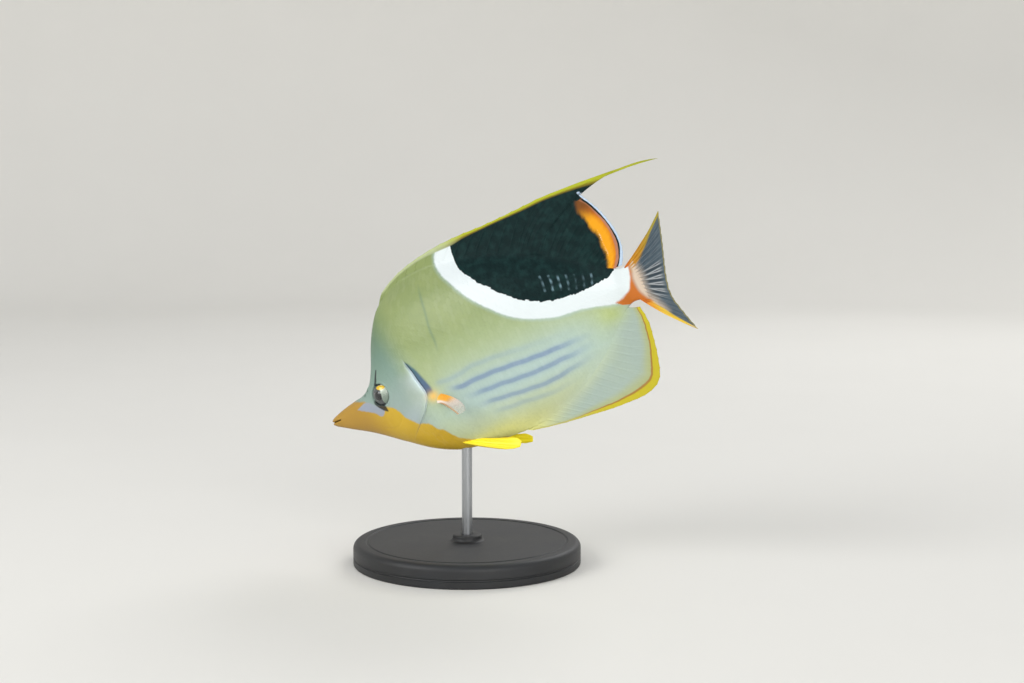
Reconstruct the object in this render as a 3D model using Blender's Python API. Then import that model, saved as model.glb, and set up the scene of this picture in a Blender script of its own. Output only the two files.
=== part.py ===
# Blackblotch butterflyfish, a life-size display model on a plain stand.
#
# The fish is drawn straight, in millimetres: x runs from the tip of the snout to the tail, z to the back and
# y to the fish's right side. Then its tail is bent to the left, its nose is turned down and the rod of the
# stand takes its weight, all in metres with the centre of the base's underside at the origin.
import math

import bmesh
import bpy
import numpy as np
from mathutils import Matrix, Vector

MM = 0.001
GAP = 0.3

# The pose.
NOSE_DOWN = 25.4
BEND_START = 140.0
BEND_RADIUS = 106.0
SNOUT_AHEAD_OF_ROD = 72.0
SNOUT_HEIGHT = 64.0

# Outline of the body without its fins, and half of its width.
STALK_END = 176.0
BACK = [(0, 1.5), (3, 2.4), (8, 3.7), (16, 5.1), (22, 6.0), (26.7, 8.3), (30.5, 12.3), (34.2, 19.0),
        (38.2, 28.0), (44.6, 38.2), (53.2, 45.6), (64, 49.0), (76, 49.6), (90, 48.0), (104, 44.4),
        (120, 38.4), (134, 31.2), (148, 22.6), (158, 15.6), (166, 10.4), (171, 8.2), (176, 8.4)]
BELLY = [(0, -1.5), (3, -3.2), (8, -6.2), (19, -12.6), (34, -23.2), (46, -31.6), (58, -37.2),
         (72, -39.8), (88, -41.4), (100, -41.6), (114, -39.2), (128, -34.6), (140, -28.4), (150, -21.6),
         (158, -15.0), (165, -9.8), (170, -8.0), (176, -8.8)]
HALF_WIDTH = [(0, 1.9), (3, 3.2), (8, 4.3), (16, 6.3), (26, 9.3), (36, 12.1), (46, 14.5), (58, 16.2),
              (72, 16.8), (88, 16.0), (104, 14.0), (120, 11.4), (136, 8.6), (150, 6.2), (160, 4.7),
              (170, 3.1), (176, 1.9)]
WIDEST_AT = [(0, 0.0), (8, -0.4), (20, -0.6), (36, 1.0), (60, 2.5), (110, 2.0), (150, 1.0), (176, 0.0)]
FLATNESS = [(0, 0.5), (30, 0.5), (50, 0.55), (80, 0.68), (120, 0.76), (160, 0.72), (176, 0.55)]
CREST_HALF_WIDTH = 0.9
STATION_STEPS = [(1.0, 1.0), (7.0, 1.5), (23.0, 4.0), (45.0, 2.2), (140.0, 5.6), (STALK_END, 4.0)]
ROWS = 13

# Mouth, gill covers and the cuts between the pieces.
MOUTH_LENGTH = 6.5
MOUTH_DEPTH = 1.1
MOUTH_GAPE = 0.42
LIP_SWELL = 0.35
GILL_EDGE = [(-70, 6.0), (-34, 30.0), (-28, 36.5), (-24.6, 41.0), (-21.5, 46.1), (-18.6, 50.4),
             (-14.9, 55.4), (-11.9, 58.2), (-9.2, 60.1), (-6.5, 60.7), (-2.9, 60.1), (1, 59.1), (4.7, 58.3),
             (8, 57.2), (14, 55.6), (24, 55.0), (38, 56.6), (70, 60.0)]
GILL_SWELL = 0.9
GILL_SWELL_LENGTH = 12.0
COVER_FRONT = [(-20.0, 43.4), (-15.0, 44.8), (-8.0, 46.4), (0.0, 47.0), (7.0, 47.6), (11.0, 49.0),
               (13.5, 52.0)]
COVER_FRONT_POINTS = 14
COVER_INNER_Y = 8.5
STALK_CUT = 167.5

EYE_PLACE = (36.0, 2.0)
EYE_RADIUS = 5.3
EYE_DEPTH = 3.3
EYE_STANDS_OUT = 1.5
NOSTRILS = [(25.6, 5.2, 0.55), (28.0, 6.9, 0.75)]
NOSTRIL_DEPTH = 1.1

# Fins. A half thickness runs from root to tip, and the higher its power the sooner it thins.
FIN_ROOT = 0.9
MEMBRANE = (0.27, 4.0)
RAY = (0.42, 1.0)
SPINE = (0.40, 0.7)
FAN_RAY = (0.38, 2.0)
FIN_ROWS = 6
SPINE_NOTCH = 0.45
RAY_NOTCH = 0.25
SPINE_LEAN = 0.06
RAY_LEAN = 0.08
DORSAL_SPINES = 14
DORSAL_SPINE_ROOTS = (49.5, 121.0)
DORSAL_SPINE_TIPS = [(52.8, 47.9), (59.0, 50.9), (66.0, 53.3), (72.7, 54.7), (79, 55.6), (91, 56.4),
                     (102, 56.2), (113, 55.4), (125, 55.0), (138, 54.9)]
DORSAL_RAY_ROOTS = (124.5, 165.5)
DORSAL_UPPER_TIPS = [(145.0, 54.8), (153.0, 54.2)]
DORSAL_UPPER_BOWS = [(134.0, 47.2), (137.0, 48.8)]
FILAMENT_TIPS = [(168.0, 52.5), (195.0, 48.4), (223.4, 42.4), (195.0, 46.2), (176.0, 49.4)]
FILAMENT_BOWS = [(141.0, 52.6), (147.0, 56.2), (150.0, 55.8), (155.0, 53.8), (154.0, 50.4)]
DORSAL_REAR_RAYS = 15
DORSAL_REAR_TIPS = [(166.3, 48.9), (168.2, 45.8), (170.8, 41.6), (173.4, 37.1), (175.6, 31.6),
                    (177.1, 26.6), (177.6, 21.5), (176.9, 16.8), (175.0, 12.4)]
ANAL_SPINES = 3
ANAL_SPINE_ROOTS = (92.0, 104.0)
ANAL_SPINE_TIPS = [(97.5, -43.3), (105.5, -44.8), (114.5, -46.2)]
ANAL_RAYS = 20
ANAL_RAY_ROOTS = (108.0, 164.5)
ANAL_RAY_TIPS = [(122.0, -47.1), (145.0, -49.2), (158.5, -48.8), (163.6, -47.2), (166.8, -44.6),
                 (170.2, -36.8), (172.7, -26.5), (173.8, -18.2), (172.6, -11.4)]
CAUDAL_RAYS = 17
CAUDAL_ROOT = 1.5
CAUDAL_LEAN = -0.1
CAUDAL_TIPS = [(206.9, 22.8), (200.0, 8.0), (196.6, 1.0), (193.6, -6.3), (192.4, -12.8), (194.6, -20.6),
               (199.2, -31.8)]
PECTORAL_RAYS = 15
PECTORAL_BASE = ((62.8, -13.2), (63.6, -8.2))
PECTORAL_ROOT = 1.05
PECTORAL_SUNK = 2.5
PECTORAL_DIRECTIONS = [(0.579, 0.755, -0.306), (0.686, 0.604, -0.405), (0.787, 0.354, -0.504)]
PECTORAL_LENGTH = 29.5
PECTORAL_SHORTENING = 0.54
PECTORAL_TAPER = 1.7
PECTORAL_BOW = 0.09
PELVIC_RAYS = 6
PELVIC_BASE = ((62.0, 5.4, -34.5), (68.5, 4.6, -35.5))
PELVIC_ROOT = 1.1
PELVIC_BOW = -0.5
PELVIC_TIPS = [(84.5, 9.4, -46.2), (91.6, 8.2, -47.6), (92.6, 7.4, -46.2), (91.4, 6.6, -44.0),
               (87.5, 5.8, -42.2)]

# Stand.
BASE_RADIUS = 55.0
BASE_HEIGHT = 11.0
BASE_SEGMENTS = 48
BOSS_RADIUS = 7.0
BOSS_HEIGHT = 14.0
ROD_RADIUS = 2.5
ROD_SEGMENTS = 20
ROD_FOOT = 4.0
ROD_SEAT = 8.0

# A distance to either side that is clear of the whole body.
CLEAR = 40.0

OLIVE = (0.39, 0.46, 0.24)
HEAD_GREY = (0.30, 0.39, 0.33)
BLACK = (0.012, 0.014, 0.016)
ORANGE = (0.75, 0.21, 0.03)
YELLOW = (0.90, 0.78, 0.04)
PALE = (0.80, 0.72, 0.60)
STAND_GREY = (0.05, 0.05, 0.055)
STEEL = (0.55, 0.56, 0.58)


def curve(points):
    """A smooth function through the points, first value to second."""
    known = np.array(points, float)
    at, value = known[:, 0], known[:, 1]
    slope = np.gradient(value, at)

    def read(query):
        query = np.asarray(query, float)
        i = np.clip(np.searchsorted(at, query, side="right") - 1, 0, len(at) - 2)
        step = at[i + 1] - at[i]
        t = np.clip((query - at[i]) / step, 0.0, 1.0)
        start = (2 * t**3 - 3 * t**2 + 1) * value[i] + (t**3 - 2 * t**2 + t) * step * slope[i]
        end = (3 * t**2 - 2 * t**3) * value[i + 1] + (t**3 - t**2) * step * slope[i + 1]
        return start + end

    return read


def along(points, count):
    """Count places spread evenly along a smooth path through the points."""
    path = np.array(points, float)
    reach = np.concatenate([[0.0], np.cumsum(np.linalg.norm(np.diff(path, axis=0), axis=1))])
    places = np.linspace(0.0, reach[-1], count)
    return np.stack([curve(np.stack([reach, path[:, k]], 1))(places) for k in range(path.shape[1])], 1)


back_line = curve(BACK)
belly_line = curve(BELLY)
half_width = curve(HALF_WIDTH)
widest_at = curve(WIDEST_AT)
flatness = curve(FLATNESS)
gill_edge = curve(GILL_EDGE)


def smooth_step(value):
    t = min(max(value, 0.0), 1.0)
    return t * t * (3.0 - 2.0 * t)


def gill_swell(x, z):
    """How far the gill cover stands proud of the flank behind it."""
    rise = smooth_step(1.0 - (float(gill_edge(z)) - x) / GILL_SWELL_LENGTH)
    fade = smooth_step((z + 27.0) / 8.0) * smooth_step((17.0 - z) / 7.0)
    return GILL_SWELL * rise * fade


def flank(x, z):
    """Half of the body's width at a height."""
    middle = float(widest_at(x))
    edge = float(back_line(x)) if z > middle else float(belly_line(x))
    h = min(abs((z - middle) / (edge - middle)), 1.0)
    return CREST_HALF_WIDTH + (float(half_width(x)) - CREST_HALF_WIDTH) * (1.0 - h * h) ** float(flatness(x))


def stations():
    places = [0.0]
    for end, step in STATION_STEPS:
        count = max(1, round((end - places[-1]) / step))
        places.extend(np.linspace(places[-1], end, count + 1)[1:])
    return places


def body_ring(x, grow, swell):
    """One section of the body: up its right side and down its left."""
    middle = float(widest_at(x))
    top = float(back_line(x)) + grow
    bottom = float(belly_line(x)) - grow
    wide = float(half_width(x)) - CREST_HALF_WIDTH
    lips = math.sqrt(max(0.0, 1.0 - x / MOUTH_LENGTH))
    right = []
    for row in range(ROWS):
        turn = math.radians(-90.0 + 180.0 * row / (ROWS - 1))
        off_line = abs(row - ROWS // 2)
        reach = top - middle if turn > 0 else middle - bottom
        rise = reach * math.sin(turn)
        if lips and off_line == 1:
            rise = max(-MOUTH_GAPE, min(MOUTH_GAPE, rise))
        z = middle + rise
        y = CREST_HALF_WIDTH + grow + wide * max(0.0, 1.0 - (rise / reach) ** 2) ** float(flatness(x))
        if swell:
            y += gill_swell(x, z)
        inward = x
        if lips and off_line == 0:
            y -= min(MOUTH_DEPTH, 0.6 * y) * lips
            inward = x + (MOUTH_DEPTH if x == 0.0 else 0.0)
        elif lips and off_line <= 2:
            y += LIP_SWELL * lips
        right.append((inward, y, z))
    left = [(a, -b, c) for a, b, c in reversed(right)]
    return right + left


def finish_object(name, model):
    mesh = bpy.data.meshes.new(name)
    model.to_mesh(mesh)
    model.free()
    made = bpy.data.objects.new(name, mesh)
    bpy.context.collection.objects.link(made)
    return made


def make_object(name, points, faces):
    model = bmesh.new()
    verts = [model.verts.new(tuple(map(float, p))) for p in points]
    for face in faces:
        model.faces.new([verts[i] for i in face])
    bmesh.ops.recalc_face_normals(model, faces=model.faces)
    return finish_object(name, model)


def make_body(name, grow=0.0, swell=False):
    """The whole body without fins, closed at snout and stalk by rungs from side to side."""
    rings = [body_ring(x, grow, swell) for x in stations()]
    if grow:
        rings[0] = [(x - grow, y, z) for x, y, z in rings[0]]
        rings[-1] = [(x + grow, y, z) for x, y, z in rings[-1]]
    size = len(rings[0])
    points = [p for ring in rings for p in ring]
    faces = []
    for k in range(len(rings) - 1):
        for i in range(size):
            j = (i + 1) % size
            faces.append((k * size + i, k * size + j, (k + 1) * size + j, (k + 1) * size + i))
    for first in (0, (len(rings) - 1) * size):
        for i in range(ROWS - 1):
            faces.append((first + i, first + i + 1, first + size - 2 - i, first + size - 1 - i))
    return make_object(name, points, faces)


def make_prism(name, outline, y_from, y_to):
    """A flat outline of x and z, drawn out along y."""
    count = len(outline)
    points = [(x, y_from, z) for x, z in outline] + [(x, y_to, z) for x, z in outline]
    faces = [tuple(range(count)), tuple(range(2 * count - 1, count - 1, -1))]
    faces += [(i, (i + 1) % count, count + (i + 1) % count, count + i) for i in range(count)]
    return make_object(name, points, faces)


def ahead_of_gills(shift):
    heights = np.linspace(-60.0, 60.0, 41)
    edge = [(float(gill_edge(z)) + shift, z) for z in heights]
    return [(-20.0, heights[0])] + edge + [(-20.0, heights[-1])]


def slab(x_from, x_to):
    return [(x_from, -70.0), (x_to, -70.0), (x_to, 70.0), (x_from, 70.0)]


def combine(target, cutter, operation, keep_cutter=False):
    change = target.modifiers.new("combine", "BOOLEAN")
    change.operation = operation
    change.object = cutter
    change.solver = "EXACT"
    evaluated = target.evaluated_get(bpy.context.evaluated_depsgraph_get())
    mesh = bpy.data.meshes.new_from_object(evaluated)
    target.modifiers.clear()
    target.data = mesh
    if not keep_cutter:
        bpy.data.objects.remove(cutter)
    keep_largest(target)


def keep_largest(target):
    model = bmesh.new()
    model.from_mesh(target.data)
    bmesh.ops.remove_doubles(model, verts=model.verts, dist=0.002)
    bmesh.ops.dissolve_degenerate(model, dist=0.002, edges=model.edges)
    left = set(model.verts)
    groups = []
    while left:
        reached = {left.pop()}
        front = list(reached)
        while front:
            for edge in front.pop().link_edges:
                for vert in edge.verts:
                    if vert in left:
                        left.remove(vert)
                        reached.add(vert)
                        front.append(vert)
        groups.append(reached)
    groups.sort(key=len)
    loose = [vert for group in groups[:-1] for vert in group]
    bmesh.ops.delete(model, geom=loose, context="VERTS")
    bmesh.ops.triangulate(model, faces=model.faces)
    model.to_mesh(target.data)
    model.free()


def bend(point):
    """The tail swings to the left side on an arc."""
    x, y, z = point
    turn = (x - BEND_START) / BEND_RADIUS
    if turn <= 0.0:
        return x, y, z
    radius = BEND_RADIUS + y
    return BEND_START + radius * math.sin(turn), radius * math.cos(turn) - BEND_RADIUS, z


def fish_frame():
    """Where the straight fish stands in the room, in metres."""
    place = Matrix.Translation((-SNOUT_AHEAD_OF_ROD * MM, 0.0, SNOUT_HEIGHT * MM))
    return place @ Matrix.Rotation(-math.radians(NOSE_DOWN), 4, "Y")


def material(name, colour, roughness, metallic=0.0):
    made = bpy.data.materials.new(name)
    made.use_nodes = True
    shader = made.node_tree.nodes["Principled BSDF"]
    shader.inputs["Base Color"].default_value = (*colour, 1.0)
    shader.inputs["Roughness"].default_value = roughness
    shader.inputs["Metallic"].default_value = metallic
    return made


def pose(target, holder, colour, roughness=0.4, smooth_angle=40.0):
    """Bends a finished straight piece and hangs it on the fish's own frame."""
    for vert in target.data.vertices:
        vert.co = Vector(bend(vert.co)) * MM
    target.parent = holder
    target.data.materials.clear()
    target.data.materials.append(material(target.name, colour, roughness))
    target.data.shade_smooth()
    target.data.set_sharp_from_angle(angle=math.radians(smooth_angle))


def ray_path(root, bow, tip, rows):
    """A ray's places from root to tip, bent towards its bow point."""
    root, bow, tip = (np.array(p, float) for p in (root, bow, tip))
    t = np.linspace(0.0, 1.0, rows + 1)[:, None]
    return (1 - t) ** 2 * root + 2 * t * (1 - t) * bow + t**2 * tip


def thinning(root, tip, power):
    """Half thicknesses from root to tip, one for each row of a fin."""
    t = np.linspace(0.0, 1.0, FIN_ROWS + 1)
    return tip + (root - tip) * (1.0 - t) ** power


def make_fin(name, rays, ridges, membrane, facing=None, spines=0):
    """A fin as one thin sheet that rises into a ridge along each ray.

    rays holds one path per ray, and ridges the ray's half thickness at each row.
    """
    columns, halves = [], []
    for k, path in enumerate(rays):
        columns.append(path)
        halves.append(ridges[k])
        if k + 1 < len(rays):
            between = 0.5 * (path + rays[k + 1])
            inward = between[-2] - between[-1]
            notch = SPINE_NOTCH if k < spines else RAY_NOTCH
            between[-1] += inward * min(0.5, notch / np.linalg.norm(inward))
            columns.append(between)
            halves.append(membrane)
    sheet = np.array(columns)
    count, rows = sheet.shape[0], sheet.shape[1]
    if facing is None:
        across = np.gradient(sheet, axis=0)
        onward = np.gradient(sheet, axis=1)
        normal = np.cross(across, onward)
        normal /= np.linalg.norm(normal, axis=2, keepdims=True)
    else:
        normal = np.broadcast_to(np.array(facing, float), sheet.shape)
    thick = np.array(halves)[:, :, None]
    faces_up = (sheet + normal * thick).reshape(-1, 3)
    faces_down = (sheet - normal * thick).reshape(-1, 3)
    points = np.concatenate([faces_up, faces_down])
    under = count * rows
    faces = []
    for i in range(count - 1):
        for j in range(rows - 1):
            a, b = i * rows + j, i * rows + j + 1
            c, d = a + rows, b + rows
            faces += [(a, b, d), (a, d, c)]
            faces += [(under + a, under + d, under + b), (under + a, under + c, under + d)]
    rim = [i * rows for i in range(count)]
    rim += [(count - 1) * rows + j for j in range(1, rows)]
    rim += [i * rows + rows - 1 for i in range(count - 2, -1, -1)]
    rim += [j for j in range(rows - 2, 0, -1)]
    for k, a in enumerate(rim):
        b = rim[(k + 1) % len(rim)]
        faces += [(a, under + a, under + b), (a, under + b, b)]
    return make_object(name, points, faces)


def on_edge(line, x, outward):
    """A fin's root on the back or belly line, a gap away from it."""
    step = 0.5
    slope = (float(line(x + step)) - float(line(x - step))) / (2 * step)
    return x, 0.0, float(line(x)) + outward * GAP * math.sqrt(1.0 + slope * slope)


def middle_of(root, tip, lean):
    """A bow point on the way from root to tip, pushed to one side in the fin's own plane."""
    root, tip = np.array(root, float), np.array(tip, float)
    way = tip - root
    return 0.5 * (root + tip) + lean * np.array([-way[2], 0.0, way[0]])


def flat_point(pair):
    return pair[0], 0.0, pair[1]


def make_dorsal_fin():
    rays, ridges = [], []
    spine_tips = along(DORSAL_SPINE_TIPS, DORSAL_SPINES)
    for x, tip in zip(np.linspace(*DORSAL_SPINE_ROOTS, DORSAL_SPINES), spine_tips):
        root = on_edge(back_line, x, 1)
        tip = flat_point(tip)
        rays.append(ray_path(root, middle_of(root, tip, SPINE_LEAN), tip, FIN_ROWS))
        ridges.append(thinning(FIN_ROOT, *SPINE))
    rear_tips = along(DORSAL_REAR_TIPS, DORSAL_REAR_RAYS)
    tips = DORSAL_UPPER_TIPS + FILAMENT_TIPS + list(rear_tips)
    bows = DORSAL_UPPER_BOWS + FILAMENT_BOWS
    for k, x in enumerate(np.linspace(*DORSAL_RAY_ROOTS, len(tips))):
        root = on_edge(back_line, x, 1)
        tip = flat_point(tips[k])
        bow = flat_point(bows[k]) if k < len(bows) else middle_of(root, tip, RAY_LEAN)
        rays.append(ray_path(root, bow, tip, FIN_ROWS))
        ridges.append(thinning(FIN_ROOT, *RAY))
    membrane = thinning(FIN_ROOT, *MEMBRANE)
    return make_fin("dorsal_fin", rays, ridges, membrane, facing=(0, 1, 0), spines=DORSAL_SPINES)


def make_anal_fin():
    rays, ridges = [], []
    spine_roots = np.linspace(*ANAL_SPINE_ROOTS, ANAL_SPINES)
    ray_roots = np.linspace(*ANAL_RAY_ROOTS, ANAL_RAYS)
    tips = ANAL_SPINE_TIPS + list(along(ANAL_RAY_TIPS, ANAL_RAYS))
    for k, x in enumerate([*spine_roots, *ray_roots]):
        root = on_edge(belly_line, x, -1)
        tip = flat_point(tips[k])
        rays.append(ray_path(root, middle_of(root, tip, -SPINE_LEAN), tip, FIN_ROWS))
        ridges.append(thinning(FIN_ROOT, *(SPINE if k < ANAL_SPINES else RAY)))
    membrane = thinning(FIN_ROOT, *MEMBRANE)
    return make_fin("anal_fin", rays, ridges, membrane, facing=(0, 1, 0), spines=ANAL_SPINES)


def make_caudal_fin():
    rays, ridges = [], []
    top = float(back_line(STALK_END)) - 0.2
    bottom = float(belly_line(STALK_END)) + 0.2
    heights = np.linspace(top, bottom, CAUDAL_RAYS)
    for k, tip in enumerate(along(CAUDAL_TIPS, CAUDAL_RAYS)):
        root = (STALK_END + GAP, 0.0, heights[k])
        tip = flat_point(tip)
        lean = CAUDAL_LEAN * (k / (CAUDAL_RAYS - 1)) ** 2
        rays.append(ray_path(root, middle_of(root, tip, lean), tip, FIN_ROWS))
        ridges.append(thinning(CAUDAL_ROOT, *RAY))
    membrane = thinning(CAUDAL_ROOT, *MEMBRANE)
    return make_fin("caudal_fin", rays, ridges, membrane, facing=(0, 1, 0))


def make_pectoral_fin(name, side, body):
    """side is 1 for the right fin and -1 for the left."""
    headings = along(PECTORAL_DIRECTIONS, PECTORAL_RAYS)
    rays, ridges = [], []
    for k, heading in enumerate(headings):
        u = k / (PECTORAL_RAYS - 1)
        x, z = (1 - u) * np.array(PECTORAL_BASE[0]) + u * np.array(PECTORAL_BASE[1])
        heading = heading / np.linalg.norm(heading) * np.array([1, side, 1])
        start = np.array([x, side * (flank(x, z) - PECTORAL_SUNK), z])
        reach = PECTORAL_SUNK + PECTORAL_LENGTH * (1.0 - PECTORAL_SHORTENING * u**PECTORAL_TAPER)
        tip = start + heading * reach
        bow = 0.5 * (start + tip) + np.array([0.0, 0.0, PECTORAL_BOW * reach])
        rays.append(ray_path(start, bow, tip, FIN_ROWS))
        ridges.append(thinning(PECTORAL_ROOT, *FAN_RAY))
    fin = make_fin(name, rays, ridges, thinning(PECTORAL_ROOT, *MEMBRANE))
    combine(fin, body, "DIFFERENCE", keep_cutter=True)
    return fin


def make_pelvic_fin(name, side, body):
    rays, ridges = [], []
    tips = along(PELVIC_TIPS, PELVIC_RAYS)
    for k, tip in enumerate(tips):
        u = k / (PELVIC_RAYS - 1)
        start = (1 - u) * np.array(PELVIC_BASE[0]) + u * np.array(PELVIC_BASE[1])
        start, tip = start * (1, side, 1), tip * (1, side, 1)
        bow = 0.5 * (start + tip) + np.array([0.0, 0.0, PELVIC_BOW])
        rays.append(ray_path(start, bow, tip, FIN_ROWS))
        ridges.append(thinning(PELVIC_ROOT, *(SPINE if k == 0 else FAN_RAY)))
    fin = make_fin(name, rays, ridges, thinning(PELVIC_ROOT, *MEMBRANE))
    combine(fin, body, "DIFFERENCE", keep_cutter=True)
    return fin


def surface_frame(x, z, side):
    """Place and outward direction of the body's side, with the z axis pointing out."""
    step = 0.4
    slope_x = (flank(x + step, z) - flank(x - step, z)) / (2 * step)
    slope_z = (flank(x, z + step) - flank(x, z - step)) / (2 * step)
    outward = Vector((-slope_x, side, -slope_z)).normalized()
    turn = outward.to_track_quat("Z", "Y").to_matrix().to_4x4()
    return Matrix.Translation((x, side * flank(x, z), z)) @ turn


def make_lens(name, frame, radius, depth):
    """A flattened ball with its short axis along the frame's z."""
    model = bmesh.new()
    bmesh.ops.create_uvsphere(model, u_segments=18, v_segments=10, radius=1.0)
    size = Matrix.Diagonal((radius, radius, depth, 1.0))
    bmesh.ops.transform(model, matrix=frame @ size, verts=model.verts)
    return finish_object(name, model)


def make_pin(name, frame, radius, length, segments=8):
    """A round bar, half in front of the frame's place and half behind it."""
    model = bmesh.new()
    bmesh.ops.create_cone(model, cap_ends=True, segments=segments, radius1=radius, radius2=radius,
                          depth=length)
    bmesh.ops.transform(model, matrix=frame, verts=model.verts)
    return finish_object(name, model)


def eye_frame(side):
    return surface_frame(*EYE_PLACE, side) @ Matrix.Translation((0, 0, EYE_STANDS_OUT - EYE_DEPTH))


def make_head_pieces(swollen):
    """The head and the two gill covers cut from it."""
    ahead = make_prism("ahead", ahead_of_gills(-GAP / 2), -CLEAR, CLEAR)
    combine(swollen, ahead, "INTERSECT")
    front = [(x, z) for z, x in along(COVER_FRONT, COVER_FRONT_POINTS)]
    covers = []
    for name, side in (("gill_cover_left", -1), ("gill_cover_right", 1)):
        outline = [(80.0, front[0][1])] + front + [(80.0, front[-1][1])]
        cover = make_prism("cover", outline, side * COVER_INNER_Y, side * CLEAR)
        piece = swollen.copy()
        piece.data = swollen.data.copy()
        piece.name = name
        bpy.context.collection.objects.link(piece)
        combine(piece, cover, "INTERSECT")
        covers.append(piece)
    for side in (-1, 1):
        outline = [(80.0, front[0][1] - GAP)] + [(x - GAP, z - 0.3 * GAP) for x, z in front]
        outline += [(front[-1][0] - GAP, front[-1][1] + GAP), (80.0, front[-1][1] + GAP)]
        room = make_prism("room", outline, side * (COVER_INNER_Y - GAP), side * CLEAR)
        combine(swollen, room, "DIFFERENCE")
    for side in (-1, 1):
        socket = make_lens("socket", eye_frame(side), EYE_RADIUS + GAP, EYE_DEPTH + GAP)
        combine(swollen, socket, "DIFFERENCE")
        for x, z, radius in NOSTRILS:
            pit = make_pin("pit", surface_frame(x, z, side), radius, 2 * NOSTRIL_DEPTH)
            combine(swollen, pit, "DIFFERENCE")
    swollen.name = "head"
    return swollen, covers


def rod_meets_belly():
    """How far along the fish, and how high in the room, the rod's axis reaches the belly."""
    turn = math.radians(NOSE_DOWN)
    low, high = 30.0, 120.0
    for _ in range(40):
        x = 0.5 * (low + high)
        ahead = math.cos(turn) * x - math.sin(turn) * float(belly_line(x))
        low, high = (x, high) if ahead < SNOUT_AHEAD_OF_ROD else (low, x)
    height = SNOUT_HEIGHT + math.sin(turn) * x + math.cos(turn) * float(belly_line(x))
    return x, height


def make_stand():
    _, belly_height = rod_meets_belly()
    rod_bottom = BASE_HEIGHT - ROD_FOOT
    rod_top = belly_height + ROD_SEAT
    half_way = Matrix.Translation((0, 0, 0.5 * (rod_bottom + rod_top)))
    rod = make_pin("stand_rod", half_way, ROD_RADIUS, rod_top - rod_bottom, ROD_SEGMENTS)

    profile = [(0.0, 0.0), (BASE_RADIUS - 0.8, 0.0), (BASE_RADIUS, 0.8), (BASE_RADIUS, BASE_HEIGHT - 3.5),
               (BASE_RADIUS - 1.0, BASE_HEIGHT - 1.2), (BASE_RADIUS - 3.5, BASE_HEIGHT),
               (BOSS_RADIUS + 1.5, BASE_HEIGHT), (BOSS_RADIUS, BASE_HEIGHT + 0.8),
               (BOSS_RADIUS - 0.8, BOSS_HEIGHT), (ROD_RADIUS + GAP, BOSS_HEIGHT),
               (ROD_RADIUS + GAP, rod_bottom - GAP), (0.0, rod_bottom - GAP)]
    points = [(0.0, 0.0, profile[0][1]), (0.0, 0.0, profile[-1][1])]
    ring_profile = profile[1:-1]
    for k in range(BASE_SEGMENTS):
        turn = 2 * math.pi * k / BASE_SEGMENTS
        points += [(r * math.cos(turn), r * math.sin(turn), z) for r, z in ring_profile]
    faces = []
    size = len(ring_profile)
    for k in range(BASE_SEGMENTS):
        here, there = 2 + k * size, 2 + (k + 1) % BASE_SEGMENTS * size
        faces += [(0, there, here), (1, here + size - 1, there + size - 1)]
        faces += [(here + i, there + i, there + i + 1, here + i + 1) for i in range(size - 1)]
    base = make_object("stand_base", points, faces)
    for piece, colour, metallic in ((base, STAND_GREY, 0.0), (rod, STEEL, 1.0)):
        for vert in piece.data.vertices:
            vert.co *= MM
        piece.data.materials.append(material(piece.name, colour, 0.35, metallic))
        piece.data.shade_smooth()
        piece.data.set_sharp_from_angle(angle=math.radians(35.0))


def cut_rod_seat(torso):
    """A round hole up into the belly for the end of the rod."""
    _, belly_height = rod_meets_belly()
    top = belly_height + ROD_SEAT + GAP
    bottom = belly_height - 20.0
    upright = Matrix.Translation((0, 0, 0.5 * (top + bottom)))
    metres = Matrix.Diagonal((MM, MM, MM, 1.0))
    in_fish = metres.inverted() @ fish_frame().inverted() @ metres @ upright
    seat = make_pin("seat", in_fish, ROD_RADIUS + GAP, top - bottom, ROD_SEGMENTS)
    combine(torso, seat, "DIFFERENCE")


def build():
    for old in list(bpy.data.objects):
        bpy.data.objects.remove(old)

    holder = bpy.data.objects.new("fish", None)
    bpy.context.collection.objects.link(holder)
    holder.matrix_world = fish_frame()

    head, covers = make_head_pieces(make_body("swollen", swell=True))

    torso = make_body("torso")
    combine(torso, make_prism("ahead", ahead_of_gills(GAP / 2), -CLEAR, CLEAR), "DIFFERENCE")
    combine(torso, make_prism("behind", slab(STALK_CUT - GAP / 2, 200.0), -CLEAR, CLEAR), "DIFFERENCE")
    cut_rod_seat(torso)

    stalk = make_body("tail_stalk")
    combine(stalk, make_prism("ahead", slab(-20.0, STALK_CUT + GAP / 2), -CLEAR, CLEAR), "DIFFERENCE")

    clearance = make_body("clearance", grow=GAP)
    fins = {
        "pectoral_fin_left": make_pectoral_fin("pectoral_fin_left", -1, clearance),
        "pectoral_fin_right": make_pectoral_fin("pectoral_fin_right", 1, clearance),
        "pelvic_fin_left": make_pelvic_fin("pelvic_fin_left", -1, clearance),
        "pelvic_fin_right": make_pelvic_fin("pelvic_fin_right", 1, clearance),
    }
    bpy.data.objects.remove(clearance)

    pose(head, holder, HEAD_GREY)
    for cover in covers:
        pose(cover, holder, HEAD_GREY)
    pose(torso, holder, OLIVE)
    pose(stalk, holder, ORANGE)
    pose(make_dorsal_fin(), holder, BLACK, smooth_angle=20.0)
    pose(make_anal_fin(), holder, YELLOW, smooth_angle=20.0)
    pose(make_caudal_fin(), holder, ORANGE, smooth_angle=20.0)
    for name, fin in fins.items():
        pose(fin, holder, YELLOW if name.startswith("pelvic") else PALE, smooth_angle=20.0)
    for name, side in (("eye_left", -1), ("eye_right", 1)):
        pose(make_lens(name, eye_frame(side), EYE_RADIUS, EYE_DEPTH), holder, BLACK, roughness=0.1)
    make_stand()


build()
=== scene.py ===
import itertools
import math
import bpy
import numpy as np
from mathutils import Matrix, Vector


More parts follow.
